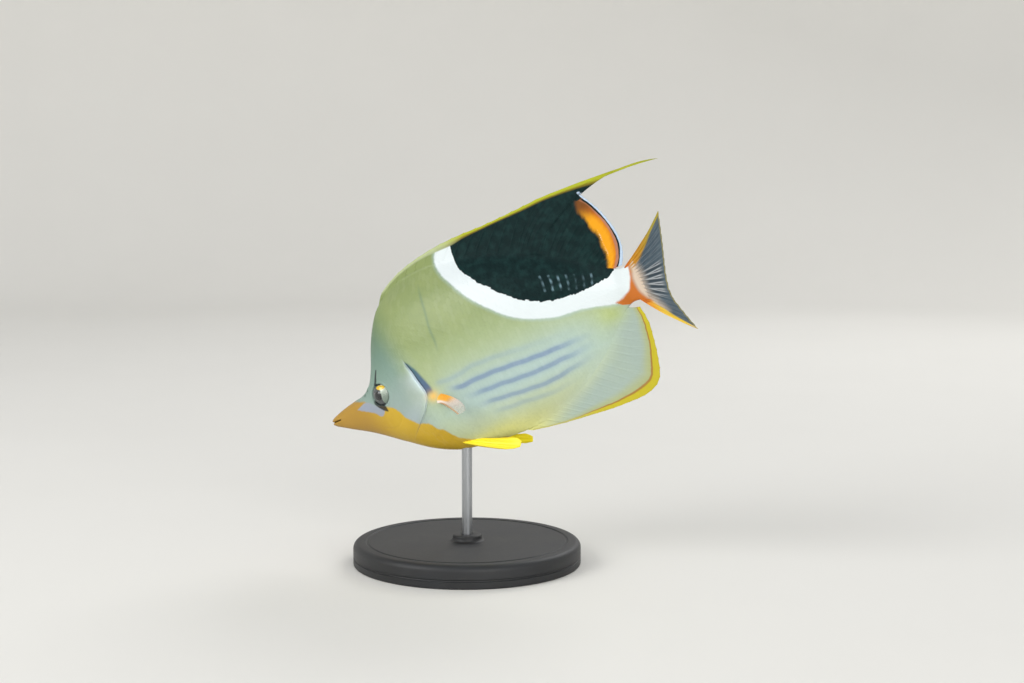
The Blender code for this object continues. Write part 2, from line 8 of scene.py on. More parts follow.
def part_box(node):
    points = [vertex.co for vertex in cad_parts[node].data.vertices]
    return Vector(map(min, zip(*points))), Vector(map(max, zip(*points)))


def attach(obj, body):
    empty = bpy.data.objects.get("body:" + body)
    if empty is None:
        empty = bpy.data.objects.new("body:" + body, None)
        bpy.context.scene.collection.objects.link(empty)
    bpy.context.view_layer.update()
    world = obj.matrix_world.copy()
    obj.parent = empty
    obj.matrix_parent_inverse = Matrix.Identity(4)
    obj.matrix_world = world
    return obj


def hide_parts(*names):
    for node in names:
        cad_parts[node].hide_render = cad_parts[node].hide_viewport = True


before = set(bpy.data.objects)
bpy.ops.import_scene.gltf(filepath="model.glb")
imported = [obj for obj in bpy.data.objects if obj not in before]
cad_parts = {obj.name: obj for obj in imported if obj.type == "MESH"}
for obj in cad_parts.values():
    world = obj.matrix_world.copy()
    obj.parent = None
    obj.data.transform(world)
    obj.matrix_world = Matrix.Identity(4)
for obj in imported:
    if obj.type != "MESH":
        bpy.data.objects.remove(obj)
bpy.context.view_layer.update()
mm = 0.001

# camera, at the photo's angle
view = {"target": (0.02079, 0.00648, 0.10775), "distance": 0.81499, "azimuth": 22.0, "elevation": 6.0,
        "lens": 60.0}


def makeCamera():
    a, e = math.radians(view["azimuth"]), math.radians(view["elevation"])
    back = Vector((math.sin(a) * math.cos(e), -math.cos(a) * math.cos(e), math.sin(e)))
    lens = bpy.data.cameras.new("camera")
    lens.lens = view["lens"]
    camera = bpy.data.objects.new("camera", lens)
    bpy.context.scene.collection.objects.link(camera)
    camera.location = Vector(view["target"]) + back * view["distance"]
    camera.rotation_euler = (-back).to_track_quat("-Z", "Y").to_euler()
    bpy.context.scene.camera = camera


makeCamera()
print("camera set")

# the straight fish is drawn in millimetres: x from snout to tail, y to its right, z to its back
pose = {"noseDown": 25.4, "bendStart": 140.0, "bendRadius": 106.0, "snoutAhead": 72.0, "snoutHeight": 64.0}


def placed(points):      # from the straight fish to the room, in metres
    p = np.asarray(points, float)
    turn = np.maximum(p[..., 0] - pose["bendStart"], 0.0) / pose["bendRadius"]
    radius = pose["bendRadius"] + p[..., 1]
    x = np.where(turn > 0, pose["bendStart"] + radius * np.sin(turn), p[..., 0])
    y = np.where(turn > 0, radius * np.cos(turn) - pose["bendRadius"], p[..., 1])
    tilt = math.radians(pose["noseDown"])
    c, s = math.cos(tilt), math.sin(tilt)
    return np.stack([c * x - s * p[..., 2] - pose["snoutAhead"], y,
                     s * x + c * p[..., 2] + pose["snoutHeight"]], -1) * mm


def hermite(t, step, start, end, startSlope, endSlope):
    return ((2 * t**3 - 3 * t**2 + 1) * start + (t**3 - 2 * t**2 + t) * step * startSlope
            + (3 * t**2 - 2 * t**3) * end + (t**3 - t**2) * step * endSlope)


def curve(points):       # a smooth function through the points, first value to second
    known = np.array(points, float)
    at, value = known[:, 0], known[:, 1]
    slope = np.gradient(value, at)

    def read(query):
        query = np.asarray(query, float)
        i = np.clip(np.searchsorted(at, query, side="right") - 1, 0, len(at) - 2)
        step = at[i + 1] - at[i]
        t = np.clip((query - at[i]) / step, 0.0, 1.0)
        return hermite(t, step, value[i], value[i + 1], slope[i], slope[i + 1])

    return read


def along(points, count):      # places spread evenly along a smooth path
    path = np.array(points, float)
    reach = np.concatenate([[0.0], np.cumsum(np.linalg.norm(np.diff(path, axis=0), axis=1))])
    places = np.linspace(0.0, reach[-1], count)
    return np.stack([curve(np.stack([reach, path[:, k]], 1))(places) for k in range(path.shape[1])], 1)


def between(values, places):   # a cubic through values at 0, 1, 2 and so on, which never overshoots
    values = np.asarray(values, float)
    climb = np.diff(values, axis=0)
    both = climb[:-1] * climb[1:]
    total = np.where(both > 0, climb[:-1] + climb[1:], 1.0)
    slope = np.concatenate([climb[:1], np.where(both > 0, 2 * both / total, 0.0), climb[-1:]])
    i = np.clip(np.floor(places).astype(int), 0, len(values) - 2)
    t = (places - i).reshape([-1] + [1] * (values.ndim - 1))
    return hermite(t, 1.0, values[i], values[i + 1], slope[i], slope[i + 1])


def smooth(value):
    t = np.clip(value, 0.0, 1.0)
    return t * t * (3.0 - 2.0 * t)


def rise(value, start, span):
    return smooth((value - start) / span)


def fall(value, start, span):
    return smooth((start - value) / span)


def hump(value, width):
    return np.exp(-(value / width) ** 2)


def nearLine(px, pz, line):    # distance to a line, and how far along it the nearest place lies, 0 to 1
    line = np.asarray(line, float)
    way = np.diff(line, axis=0)
    size = np.linalg.norm(way, axis=1)
    reach = np.concatenate([[0.0], np.cumsum(size)])
    best, share = np.full(px.shape, 1e6), np.zeros(px.shape)
    for (ax, az), (wx, wz), length, before in zip(line[:-1], way, size, reach):
        t = np.clip(((px - ax) * wx + (pz - az) * wz) / length**2, 0.0, 1.0)
        away = np.hypot(px - ax - t * wx, pz - az - t * wz)
        closer = away < best
        best = np.where(closer, away, best)
        share = np.where(closer, (before + t * length) / reach[-1], share)
    return best, share


def within(px, pz, outline):
    outline = np.asarray(outline, float)
    found = np.zeros(px.shape, bool)
    for (ax, az), (bx, bz) in zip(outline, np.roll(outline, -1, axis=0)):
        if az != bz:
            found ^= ((az > pz) != (bz > pz)) & (px < (bx - ax) * (pz - az) / (bz - az) + ax)
    return found


def fadedEnds(share, first, last):
    return smooth(share / first) * smooth((1 - share) / last)


def into(px, pz, edge, corners=()):      # mm inside a drawn edge, minus outside; the corners close it
    drawn = along(edge, 48)
    away = nearLine(px, pz, drawn if len(corners) else np.concatenate([drawn, drawn[:1]]))[0]
    area = np.concatenate([drawn, np.array(corners, float).reshape(-1, 2)])
    return np.where(within(px, pz, area), away, -away)


def tubeFaces(rings, turns):     # triangles of a tube of rings, then a last point or two that close its ends
    i, j = np.meshgrid(np.arange(rings - 1), np.arange(turns), indexing="ij")
    a, b = (i * turns + j).ravel(), (i * turns + (j + 1) % turns).ravel()
    ring, last, ends = np.arange(turns), (rings - 1) * turns, rings * turns
    after = (ring + 1) % turns
    return np.concatenate([
        np.stack([a, a + turns, b + turns], 1), np.stack([a, b + turns, b], 1),
        np.stack([np.full(turns, ends), ring, after], 1),
        np.stack([np.full(turns, ends + 1), last + after, last + ring], 1)])


def makePiece(name, points, faces, slot, fields, *nodes):
    mesh = bpy.data.meshes.new(name)
    a, b, c = (points[faces[:, k]] for k in range(3))
    if np.einsum("ij,ij->", a, np.cross(b, c)) < 0:      # faces look outward
        faces = faces[:, ::-1]
    mesh.vertices.add(len(points))
    mesh.vertices.foreach_set("co", points.astype(np.float32).ravel())
    mesh.loops.add(faces.size)
    mesh.loops.foreach_set("vertex_index", faces.astype(np.int32).ravel())
    mesh.polygons.add(len(faces))
    mesh.polygons.foreach_set("loop_start", np.arange(0, faces.size, faces.shape[1], dtype=np.int32))
    mesh.update(calc_edges=True)
    mesh.validate()
    for label, values in fields.items():
        mesh.attributes.new(label, "FLOAT", "POINT").data.foreach_set("value", values.astype(np.float32))
    mesh.shade_smooth()
    piece = bpy.data.objects.new(name, mesh)
    bpy.context.scene.collection.objects.link(piece)
    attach(piece, "root")
    if nodes:
        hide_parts(*nodes)
    return piece


# outlines of the body without its fins, and half of its width
body = {"stalkEnd": 176.0, "crest": 0.9,
        "back": [(0, 1.5), (3, 2.4), (8, 3.7), (16, 5.1), (22, 6.0), (26.7, 8.3), (30.5, 12.3), (34.2, 19),
                 (38.2, 28), (44.6, 38.2), (53.2, 45.6), (64, 49), (76, 49.6), (90, 48), (104, 44.4),
                 (120, 38.4), (134, 31.2), (148, 22.6), (158, 15.6), (166, 10.4), (171, 8.2), (176, 8.4),
                 (180, 9.4)],
        "belly": [(0, -1.5), (3, -3.2), (8, -6.2), (19, -12.6), (34, -23.2), (46, -31.6), (58, -37.2),
                  (72, -39.8), (88, -41.4), (100, -41.6), (114, -39.2), (128, -34.6), (140, -28.4),
                  (150, -21.6), (158, -15), (165, -9.8), (170, -8), (176, -8.8), (180, -10.2)],
        "halfWidth": [(0, 1.9), (3, 3.2), (8, 4.3), (16, 6.3), (26, 9.3), (36, 12.1), (46, 14.5), (58, 16.2),
                      (72, 16.8), (88, 16), (104, 14), (120, 11.4), (136, 8.6), (150, 6.2), (160, 4.7),
                      (170, 3.1), (176, 1.9), (180, 0.6)],
        "widestAt": [(0, 0), (8, -0.4), (20, -0.6), (36, 1), (60, 2.5), (110, 2), (150, 1), (176, 0)],
        "flatness": [(0, .5), (30, .5), (50, .55), (80, .68), (120, .76), (160, .72), (176, .55)]}
backLine, bellyLine, halfWidth, widestAt, flatness = (
    curve(body[k]) for k in ("back", "belly", "halfWidth", "widestAt", "flatness"))
gillEdge = curve([(-70, 6), (-34, 30), (-28, 36.5), (-24.6, 41), (-21.5, 46.1), (-18.6, 50.4), (-14.9, 55.4),
                  (-11.9, 58.2), (-9.2, 60.1), (-6.5, 60.7), (-2.9, 60.1), (1, 59.1), (4.7, 58.3), (8, 57.2),
                  (14, 55.6), (24, 55), (38, 56.6), (70, 60)])


def flank(x, z):         # half of the body's width at a height
    middle = widestAt(x)
    edge = np.where(z > middle, backLine(x), bellyLine(x))
    h = np.minimum(np.abs((z - middle) / (edge - middle)), 1.0)
    return body["crest"] + (halfWidth(x) - body["crest"]) * (1.0 - h * h) ** flatness(x)


def outwardAt(x, z, side):
    step = 0.4
    slopeX = (flank(x + step, z) - flank(x - step, z)) / (2 * step)
    slopeZ = (flank(x, z + step) - flank(x, z - step)) / (2 * step)
    return Vector((-slopeX, side, -slopeZ)).normalized()


# scales lie like roof tiles, each over the one behind it
scales = {"size": [(0, 1.3), (25, 1.5), (45, 2.3), (70, 3.7), (100, 4.0), (135, 3.3), (176, 1.9), (240, 1.4)],
          "reach": 0.82, "step": 0.52, "height": 0.11}


def scaleField(px, pz, shrink=1.0):
    line = np.linspace(-5.0, 245.0, 1001)
    sizeLine = curve(scales["size"])
    count = np.concatenate([[0.0], np.cumsum(np.diff(line) / sizeLine(0.5 * (line[1:] + line[:-1])))])
    size = sizeLine(px) * shrink
    s, t = np.interp(px, line, count) / shrink, pz / size
    reach, step = scales["reach"], scales["step"]
    first = np.floor((s - reach) / step) + 1
    lift, edge, shade = np.zeros(px.shape), np.zeros(px.shape), np.zeros(px.shape)
    found = np.zeros(px.shape, bool)
    for k in range(int(2 * reach / step) + 1):
        column = first + k
        half = 0.5 * (column % 2)
        row = np.round(t - half)
        away = np.hypot(s - column * step, t - row - half)
        here = ~found & (away < reach)
        found |= here
        lift = np.where(here, 1.0 - (reach - away) / reach, lift)
        edge = np.where(here, smooth(1.0 - (reach - away) / 0.13), edge)
        code = np.sin(column * 12.9898 + row * 78.233) * 43758.5453
        shade = np.where(here, code - np.floor(code), shade)
    return lift, edge, shade, size


# places of the markings, and of the painted shade and painted highlight at the gill cover's edge, on the
# flank and on the middle of the fins, x and z
marks = {
    "saddle": [(95.9, 57), (95.6, 53), (95, 49.6), (95.2, 45.1), (97.6, 40), (105.9, 29.5), (113.7, 21.5),
               (121.6, 14.7), (130.4, 9.7), (139, 7.1), (149.4, 6.2), (159.3, 6.5), (165.1, 7.4), (168, 9)],
    "band": [(89.5, 57), (87, 53.6), (85.3, 51.3), (84.8, 48.6), (86.9, 43.4), (91.8, 35.7), (99.2, 24.9),
             (106.8, 16.5), (114.3, 9.4), (126.9, 2.7), (135.9, -0.1), (146, -1.1), (155.8, -3.5),
             (162.8, -5.6), (170.5, -4.8), (174.6, -0.5), (176.8, 6.5), (177, 12)],
    "mustard": [(12, 14), (16.2, 5.4), (24.4, 2.5), (30, -1.6), (36.8, -4.7), (41.3, -7.5), (43.9, -12.8),
                (46.7, -15.5), (49.6, -18.8), (53.9, -20), (57, -24.5), (60.1, -26.9), (62.6, -30.8),
                (66.8, -34.4), (76, -38.6), (88, -42)],
    "patch": [(19, .3), (24.9, 1.8), (29.9, -1.1), (34.6, -6), (32.2, -7.5), (27.8, -4.5), (22.4, -1.5)],
    "shoulder": [(74.8, 44.1), (75.5, 34.7), (75.8, 28.1), (75.4, 20.6), (75.8, 13.3), (75.3, 6.9)],
    # width of the painted shade in the gill opening behind the gill cover's edge
    "slateShadeWidth": [(-7.7, 4.2), (-5, 4), (-1, 3.6), (2.5, 3.2), (5.8, 2.5), (9, 1.5), (12, 0)],  # by height
    # strength and width, by height, of the painted highlight along the gill cover's rear edge
    "rimHighlight": [(-26, 0), (-20, .12), (-14, .4), (-8, .75), (-3, 1), (2, 1), (6, .8), (9, .45), (13, 0)],
    "rimHighlightWidth": [(-20, 0.9), (-12, 1.6), (-6, 3.2), (-1, 4.4), (3, 3.6), (6, 2.0), (10, 1.2)],
    "barAbove": [(38.8, 13.6), (36.6, 9.9), (34.9, 6.0)],
    "barBelow": [(33.2, -0.4), (34.3, -2.8), (35.3, -4.9), (36.2, -6.4)],
    "ember": [(163.2, -5.4), (166.1, -4.9), (168.8, -4.2), (172.5, -2.7), (174.4, 0), (175.9, 3.4),
              (176.5, 6), (176, 9)],
    "emberEnd": [(178.5, 9.6), (177.2, 7.1), (177.2, 5.1), (176.4, 1.9), (176.3, -1.5), (176.8, -5.2),
                 (178.3, -8.3), (180.4, -11.4)],
    "rear": [(170, 4), (162.9, -6.7), (150.7, -21.9), (133.6, -32.4), (117.1, -38.4), (104, -44)],
    "lateral": [(57, 12), (66, 22.5), (80, 31), (98, 33), (118, 27), (138, 17), (153, 9)],
    "cheek": [(44.6, 9), (46.4, 2), (46, -6), (42.6, -12.5), (36.5, -15.6), (28, -13.2)],
    "maxilla": [(5.8, 0.6), (7.2, -1.1), (7.7, -2.8), (7.1, -4.2)]}
stripes = [  # half width, strength, how far the ends fade, places
    (1.4, 0.5, (0.05, 0.7), [(66, -5.4), (70.1, -4.9), (75.4, -5.6), (81.1, -5.2), (87.3, -4.2), (92.4, -4.4),
                             (102.7, -5.1), (112.5, -6.4), (122.4, -7.2), (132.2, -8), (142.1, -8.9),
                             (149, -8)]),
    (1.55, 0.95, (0.12, 0.32), [(69.5, -8.4), (73.4, -9.6), (78, -10.9), (83.8, -10.7), (94.6, -10.8),
                                (104.8, -11.5), (114.7, -12.4), (124.8, -12.9), (134.9, -13.1), (143, -13.3),
                                (150.5, -12.2)]),
    (1.5, 0.88, (0.2, 0.32), [(75, -14.8), (80.5, -16.4), (85.9, -16.9), (96.5, -17.4), (106.3, -18.4),
                              (116.5, -18.9), (126.9, -18.6), (137, -18.4), (142.7, -17.5), (149, -16.3)]),
    (1.4, 0.82, (0.2, 0.36), [(78, -21.8), (82.7, -22.4), (88, -22.7), (98.1, -23.9), (107.9, -25),
                              (117.8, -25.6), (129, -24.3), (139.2, -23), (147, -21.2)]),
    (1.2, 0.48, (0.2, 0.5), [(84, -27.4), (94.6, -28.8), (103.3, -29.4), (111.5, -30.5), (120.1, -30.7),
                             (134, -28.4)])]
# rows of painted glints on the scale edges in the lower black saddle
glintDashRows = {"count": 7, "topLeft": (133.2, 21.6), "topRight": (156.8, 12.6), "bottomLeft": (133.6, 12.7),
            "bottomRight": (155.3, 5.0), "bow": 0.5, "halfWidth": 0.4}


def nearMark(px, pz, label, detail):
    return nearLine(px, pz, along(marks[label], detail))


def stripeField(px, pz):
    found = np.zeros(px.shape)
    for width, strength, fades, places in stripes:
        waved = pz + 0.1 * np.sin(px * 0.62 + width * 9)
        away, share = nearLine(px, waved, along(places, 32))
        profile = np.minimum(1.25 * hump(away, 0.95 * width), 1.0)
        found = np.maximum(found, strength * fadedEnds(share, *fades) * profile)
    return found


# painted glints: short pale-blue dashes along the scale edges, beaded and faded at their ends
def glintDashField(px, pz):
    found = np.zeros(px.shape)
    topLeft, topRight, bottomLeft, bottomRight = (
        np.array(glintDashRows[k]) for k in ("topLeft", "topRight", "bottomLeft", "bottomRight"))
    for k in range(glintDashRows["count"]):
        u = k / (glintDashRows["count"] - 1)
        top, low = (1 - u) * topLeft + u * topRight, (1 - u) * bottomLeft + u * bottomRight
        away, share = nearLine(px, pz, along([top, 0.5 * (top + low) + (glintDashRows["bow"], 0), low], 10))
        beads = 0.55 + 0.45 * np.sin(share * 15 + k * 1.9)
        strength = fadedEnds(share, 0.1, 0.1) * (0.6 + 0.4 * math.sin(k * 1.1))
        found = np.maximum(found, beads * strength * smooth(1.5 - away / glintDashRows["halfWidth"]))
    return found


def markFields(px, pz):        # markings that body and upright fins share
    up, down = 120.0, -120.0
    return {
        "saddle": into(px, pz, marks["saddle"], [(168, up), (95.9, up)]),
        "band": into(px, pz, marks["band"], [(177, up), (89.5, up)]),
        "height": np.clip((pz + 46) / 96, 0, 1),
        "rear": smooth(0.5 + into(px, pz, marks["rear"], [(104, down), (230, down), (230, 4)]) / 13),
        "tinge": fall(pz, -30, 10) * hump(px - 87, 20),
        "glow": hump(np.hypot((px - 159) / 7, (pz + 9) / 5), 1.0)}


# the skin of head, gill covers, trunk and stalk in one piece
skin = {"rows": 280, "tip": 2.2, "tipSteps": 14, "crown": 0.25, "crestFlow": 5.0,
        "steps": [(6.5, 0.2), (50.0, 0.3), (52.6, 0.22), (55.6, 0.085), (58, 0.25), (172, 0.5), (180, 0.35)],
        "edgeAt": 54.0, "warpFrom": 14.0, "warpTo": 112.0, "crestThinned": 0.34, "crestThinFlow": 1.6,
        "crestStarts": ((47, 9), (88, 14)), "crestEnd": (172, 6)}
mouth = {"length": 6.5, "depth": 1.1, "gape": 0.30, "lip": 0.34, "lipAt": 0.95, "crease": 0.12}
gill = {"swell": 0.9, "length": 12.0, "slit": 0.45, "slitAt": 0.42, "slitHalf": 0.3, "cheekFold": 0.1}
nostrils = {"places": [(25.6, 5.2, 0.55), (28.0, 6.9, 0.75)], "depth": 0.95, "rim": 0.16}
lateralLine = {"height": 0.09, "halfWidth": 0.55, "tubes": 38}
eye = {"place": (36.0, 2.0), "radius": 5.3, "depth": 3.3, "standsOut": 1.5, "socket": 2.5, "lid": 0.3}


def stationPlaces():
    tip = skin["tip"] * (1.0 - np.cos(np.linspace(0.03, math.pi / 2, skin["tipSteps"])))
    places = list(tip)
    for end, step in skin["steps"]:
        count = max(1, round((end - places[-1]) / step))
        places += list(np.linspace(places[-1], end, count + 1)[1:])
    return np.array(places)


def halfSkin():          # the right half of every ring, from belly to back, with the middle of both crests
    turns = np.linspace(-math.pi / 2, math.pi / 2, skin["rows"] + 1)
    probe = np.linspace(15.0, 80.0, 700)
    middle = widestAt(probe)
    meets = []
    for turn in turns:
        reach = backLine(probe) - middle if turn > 0 else middle - bellyLine(probe)
        ahead = gillEdge(middle + reach * math.sin(turn)) - probe
        meets.append(np.interp(0.0, -ahead, probe))
    u = stationPlaces()[:, None]
    at = skin["edgeAt"]
    weight = np.where(u < at, smooth((u - skin["warpFrom"]) / (at - skin["warpFrom"])),
                      smooth((skin["warpTo"] - u) / (skin["warpTo"] - at)))
    x = u + (np.array(meets) - at)[None, :] * weight
    middle = widestAt(x)
    reach = np.where(turns > 0, backLine(x) - middle, middle - bellyLine(x))
    z = middle + reach * np.sin(turns)
    y = body["crest"] + (halfWidth(x) - body["crest"]) * np.maximum(np.cos(turns), 0.0) ** (2 * flatness(x))
    below = reach * (1.0 - np.abs(np.sin(turns)))      # under the fins the flank runs up into a crest
    onBack, onBelly = (rise(x, *start) for start in skin["crestStarts"])
    crest = np.where(turns > 0, onBack, onBelly) * fall(x, *skin["crestEnd"])
    y = body["crest"] + (y - body["crest"]) * (1.0 - crest * np.exp(-below / skin["crestFlow"]))
    y = y * (1.0 - skin["crestThinned"] * crest * np.exp(-below / skin["crestThinFlow"]))
    tip = np.sqrt(np.clip(1.0 - (1.0 - np.minimum(x / skin["tip"], 1.0)) ** 2, 0.0, 1.0))
    y, z = y * tip, middle + (z - middle) * tip
    half = np.stack([x, y, z], -1)
    caps = []
    for edge, wide, up in ((0, 0.0, -1.0), (0, 0.5, -0.75), (-1, 0.5, 0.75), (-1, 0.0, 1.0)):
        cap = half[:, edge][:, None].copy()
        cap[..., 1] *= wide
        cap[..., 2] += up * skin["crown"] * tip[:, :1]
        caps.append(cap)
    return np.concatenate([*caps[:2], half, *caps[2:]], axis=1)


def eyeFrame(side):
    x, z = eye["place"]
    outward = outwardAt(x, z, side)
    turn = outward.to_track_quat("Z", "Y").to_matrix().to_4x4()
    return Matrix.Translation((x, side * float(flank(x, z)), z)) @ turn


# the hollows mask it returns is where shade is painted: mouth gape, nostrils, gill slit and eye socket
def carvedSkin(px, py, pz):      # how far the skin is raised, mm ahead of the gill's edge, and masks of both
    socket = np.array(eyeFrame(1).inverted())
    local = np.stack([px, py, pz], -1) @ socket[:3, :3].T + socket[:3, 3]
    eyeGap = np.hypot(local[..., 0], local[..., 1]) + 100.0 * (py < 4.0)

    lean = gillEdge(pz + 0.5) - gillEdge(pz - 0.5)
    ahead = (gillEdge(pz) - px) / np.sqrt(1.0 + lean**2)
    loose = rise(pz, -25, 13) * fall(pz, 12.5, 4.5)
    relief = gill["swell"] * smooth(1 - ahead / gill["length"]) * rise(ahead, -0.05, 0.32) * loose
    clear = 0.15 + 0.85 * rise(pz, -10, 8)
    relief -= gill["slit"] * hump(ahead + gill["slitAt"], gill["slitHalf"]) * loose * clear
    relief -= gill["cheekFold"] * hump(nearMark(px, pz, "cheek", 30)[0], 0.5)

    lips = np.sqrt(np.clip(1 - px / mouth["length"], 0, 1))
    offMouth = np.abs(pz - widestAt(px))
    gapDepth = np.minimum(mouth["depth"], 0.75 * np.maximum(py, 0.8))
    relief -= gapDepth * hump(offMouth, mouth["gape"]) * smooth(lips * 2.2)
    relief += mouth["lip"] * hump(offMouth - mouth["lipAt"], 0.55) * lips
    relief -= mouth["crease"] * hump(nearMark(px, pz, "maxilla", 16)[0], 0.32) * (py > 0.5)

    relief += eye["lid"] * hump(eyeGap - eye["radius"] - 0.65, 0.5)
    relief -= eye["socket"] * smooth((eye["radius"] + 0.25 - eyeGap) / 0.75)
    holes = np.zeros(px.shape)
    for x, z, radius in nostrils["places"]:
        away = np.hypot(px - x, pz - z)
        relief += (nostrils["rim"] * hump(away - radius - 0.35, 0.28)
                   - nostrils["depth"] * smooth((radius + 0.1 - away) / 0.4))
        holes = np.maximum(holes, smooth((radius + 0.1 - away) / 0.35))

    away, share = nearMark(px, pz, "lateral", 60)
    tubes = 0.5 + 0.5 * np.sin(share * 2 * math.pi * lateralLine["tubes"])
    relief += lateralLine["height"] * hump(away, lateralLine["halfWidth"]) * tubes
    lift, edge, shade, size = scaleField(px, pz)
    scaly = rise(px, 20, 16) * rise(eyeGap, 6.0, 2.5) * fall(px, 180, 6)
    scaly *= (1 - 0.9 * hump(ahead + 0.2, 0.9) * loose) * (0.5 + 0.5 * rise(px, 42, 14))
    relief += scales["height"] * scaly * (lift - 0.5) * np.minimum(size / 3.6, 1.1)
    # painted shade in the hollows: mouth gape, nostrils, gill slit and eye socket
    hollow = (hump(offMouth, mouth["gape"] * 0.9) * smooth(lips * 2.2) + holes
              + hump(ahead + gill["slitAt"], 0.28) * loose * clear**2 * 0.8
              + smooth((eye["radius"] - 0.15 - eyeGap) / 0.5))
    return relief, ahead, {"hollow": np.clip(hollow, 0, 1), "tileEdge": edge * scaly,
                           "tileShade": (shade - 0.5) * scaly}


def skinFields(px, pz, ahead):
    # the slate field is a slate-blue painted shade in the gill opening behind the gill cover's edge, widest
    # low down
    reach = np.maximum(curve(marks["slateShadeWidth"])(np.clip(pz, -12, 12)), 0)
    slate = smooth((reach + 0.7 + ahead) / 1.8) * fall(ahead, 0.15, 0.3)
    # the rim field is a painted highlight along the gill cover's rear edge, fading forward from the edge
    highlight = np.clip(curve(marks["rimHighlight"])(pz), 0, 1)
    rim = np.exp(-np.maximum(ahead, 0) / (0.42 * curve(marks["rimHighlightWidth"])(pz)))
    above, shareUp = nearMark(px, pz, "barAbove", 12)
    below, shareDown = nearMark(px, pz, "barBelow", 12)
    shoulder, share = nearMark(px, pz, "shoulder", 24)
    return {
        **markFields(px, pz),
        "mustard": into(px, pz, marks["mustard"], [(88, -120), (-40, -120), (-40, 40), (12, 40)]),
        "patch": into(px, pz, marks["patch"]),
        "stripe": stripeField(px, pz),
        "dash": glintDashField(px, pz),
        "slate": slate * rise(pz, -9.6, 3.4) * fall(pz, 11.8, 2.5),
        "slateLow": fall(pz, 10, 16),
        "haze": rise(px, 62, 16) * fall(px, 156, 22) * hump(pz + 15, 13),
        "rim": highlight * rise(ahead, -0.3, 0.25) * rim,
        "bar": np.maximum(smooth(1.5 - above / (0.35 + 0.5 * shareUp)),
                          smooth((2.75 - 1.9 * shareDown**2 - below) / 0.7)),
        "head": smooth((64 - px - 0.27 * np.maximum(pz - 10, 0)) / 18),
        "cheek": rise(ahead, -1, 4) * fall(ahead, 13, 11) * fall(pz, 9, 8),
        "toSnout": fall(px, 44, 30),
        "shoulder": hump(shoulder, 0.6) * fadedEnds(share, 0.25, 0.2),
        "ember": into(px, pz, marks["ember"],
                      [(200, 12), (200, -12), (176, -10.5), (169.2, -8.8), (165.1, -7.3)]),
        "emberEnd": np.where(px < 172, 20.0, into(px, pz, marks["emberEnd"], [(150, -11.4), (150, 9.6)])),
        "root": hump(np.hypot((px - 63.6) / 3.0, (pz + 9.6) / 2.6), 1.0)}


def makeSkin():
    half = halfSkin()
    px, py, pz = half[..., 0], half[..., 1], half[..., 2]
    relief, ahead, fields = carvedSkin(px, py, pz)
    fields.update(skinFields(px, pz, ahead))
    count = half.shape[1]
    order = np.concatenate([np.arange(count), np.arange(count - 2, 0, -1)])
    ring = half[:, order].copy()
    ring[:, count:, 1] *= -1.0
    around = 0.5 * (np.roll(ring, -1, axis=1) - np.roll(ring, 1, axis=1))
    outward = np.cross(around, np.gradient(ring, axis=0))
    outward /= np.maximum(np.linalg.norm(outward, axis=2, keepdims=True), 1e-9)
    ring = ring + outward * relief[:, order][..., None]
    ends = np.stack([ring[0].mean(0) + (0.5, 0, 0), ring[-1].mean(0)])
    points = placed(np.concatenate([ring.reshape(-1, 3), ends]))
    spread = {label: values[:, order].ravel() for label, values in fields.items()}
    whole = {label: np.concatenate([values, values[:1], values[-1:]]) for label, values in spread.items()}
    # the point at the snout's tip, in the mouth, gets full painted shade
    whole["hollow"][-2] = 1.0
    return makePiece("fish_skin", points, tubeFaces(*ring.shape[:2]), "body_skin", whole,
                     "head", "gill_cover_left", "gill_cover_right", "torso", "tail_stalk")


fishSkin = makeSkin()
print("skin made:", len(fishSkin.data.polygons), "faces")

# fins: a thin sheet that rises into a ridge along each ray
fin = {"rows": 44, "crowd": 0.9, "rootIn": 1.6, "webHalf": 0.15, "spineWidth": 0.42, "rayWidth": 0.34,
       "spineNotch": 0.45, "rayNotch": 0.28, "fork": 0.17, "twig": 0.075, "ringEvery": 0.9,
       "tileHeight": 0.07, "tileSize": 0.62,
       "spineSteps": [0, .035, .07, .11, .17, .26, .38, .5, .62, .74, .83, .89, .93, .965],
       "raySteps": [0, .07, .14, .21, .28, .36, .44, .5, .56, .64, .72, .79, .86, .93]}
plainLook = {"spines": 0, "rootHalf": 0.9, "webPower": 4.0, "spineHalf": 0.40, "rayHalf": 0.28, "wider": 1.0,
             "sway": 0.12}


def pathOf(root, bow, tip, t):
    root, bow, tip = (np.array(p, float) for p in (root, bow, tip))
    t = t[:, None]
    return (1 - t) ** 2 * root + 2 * t * (1 - t) * bow + t**2 * tip


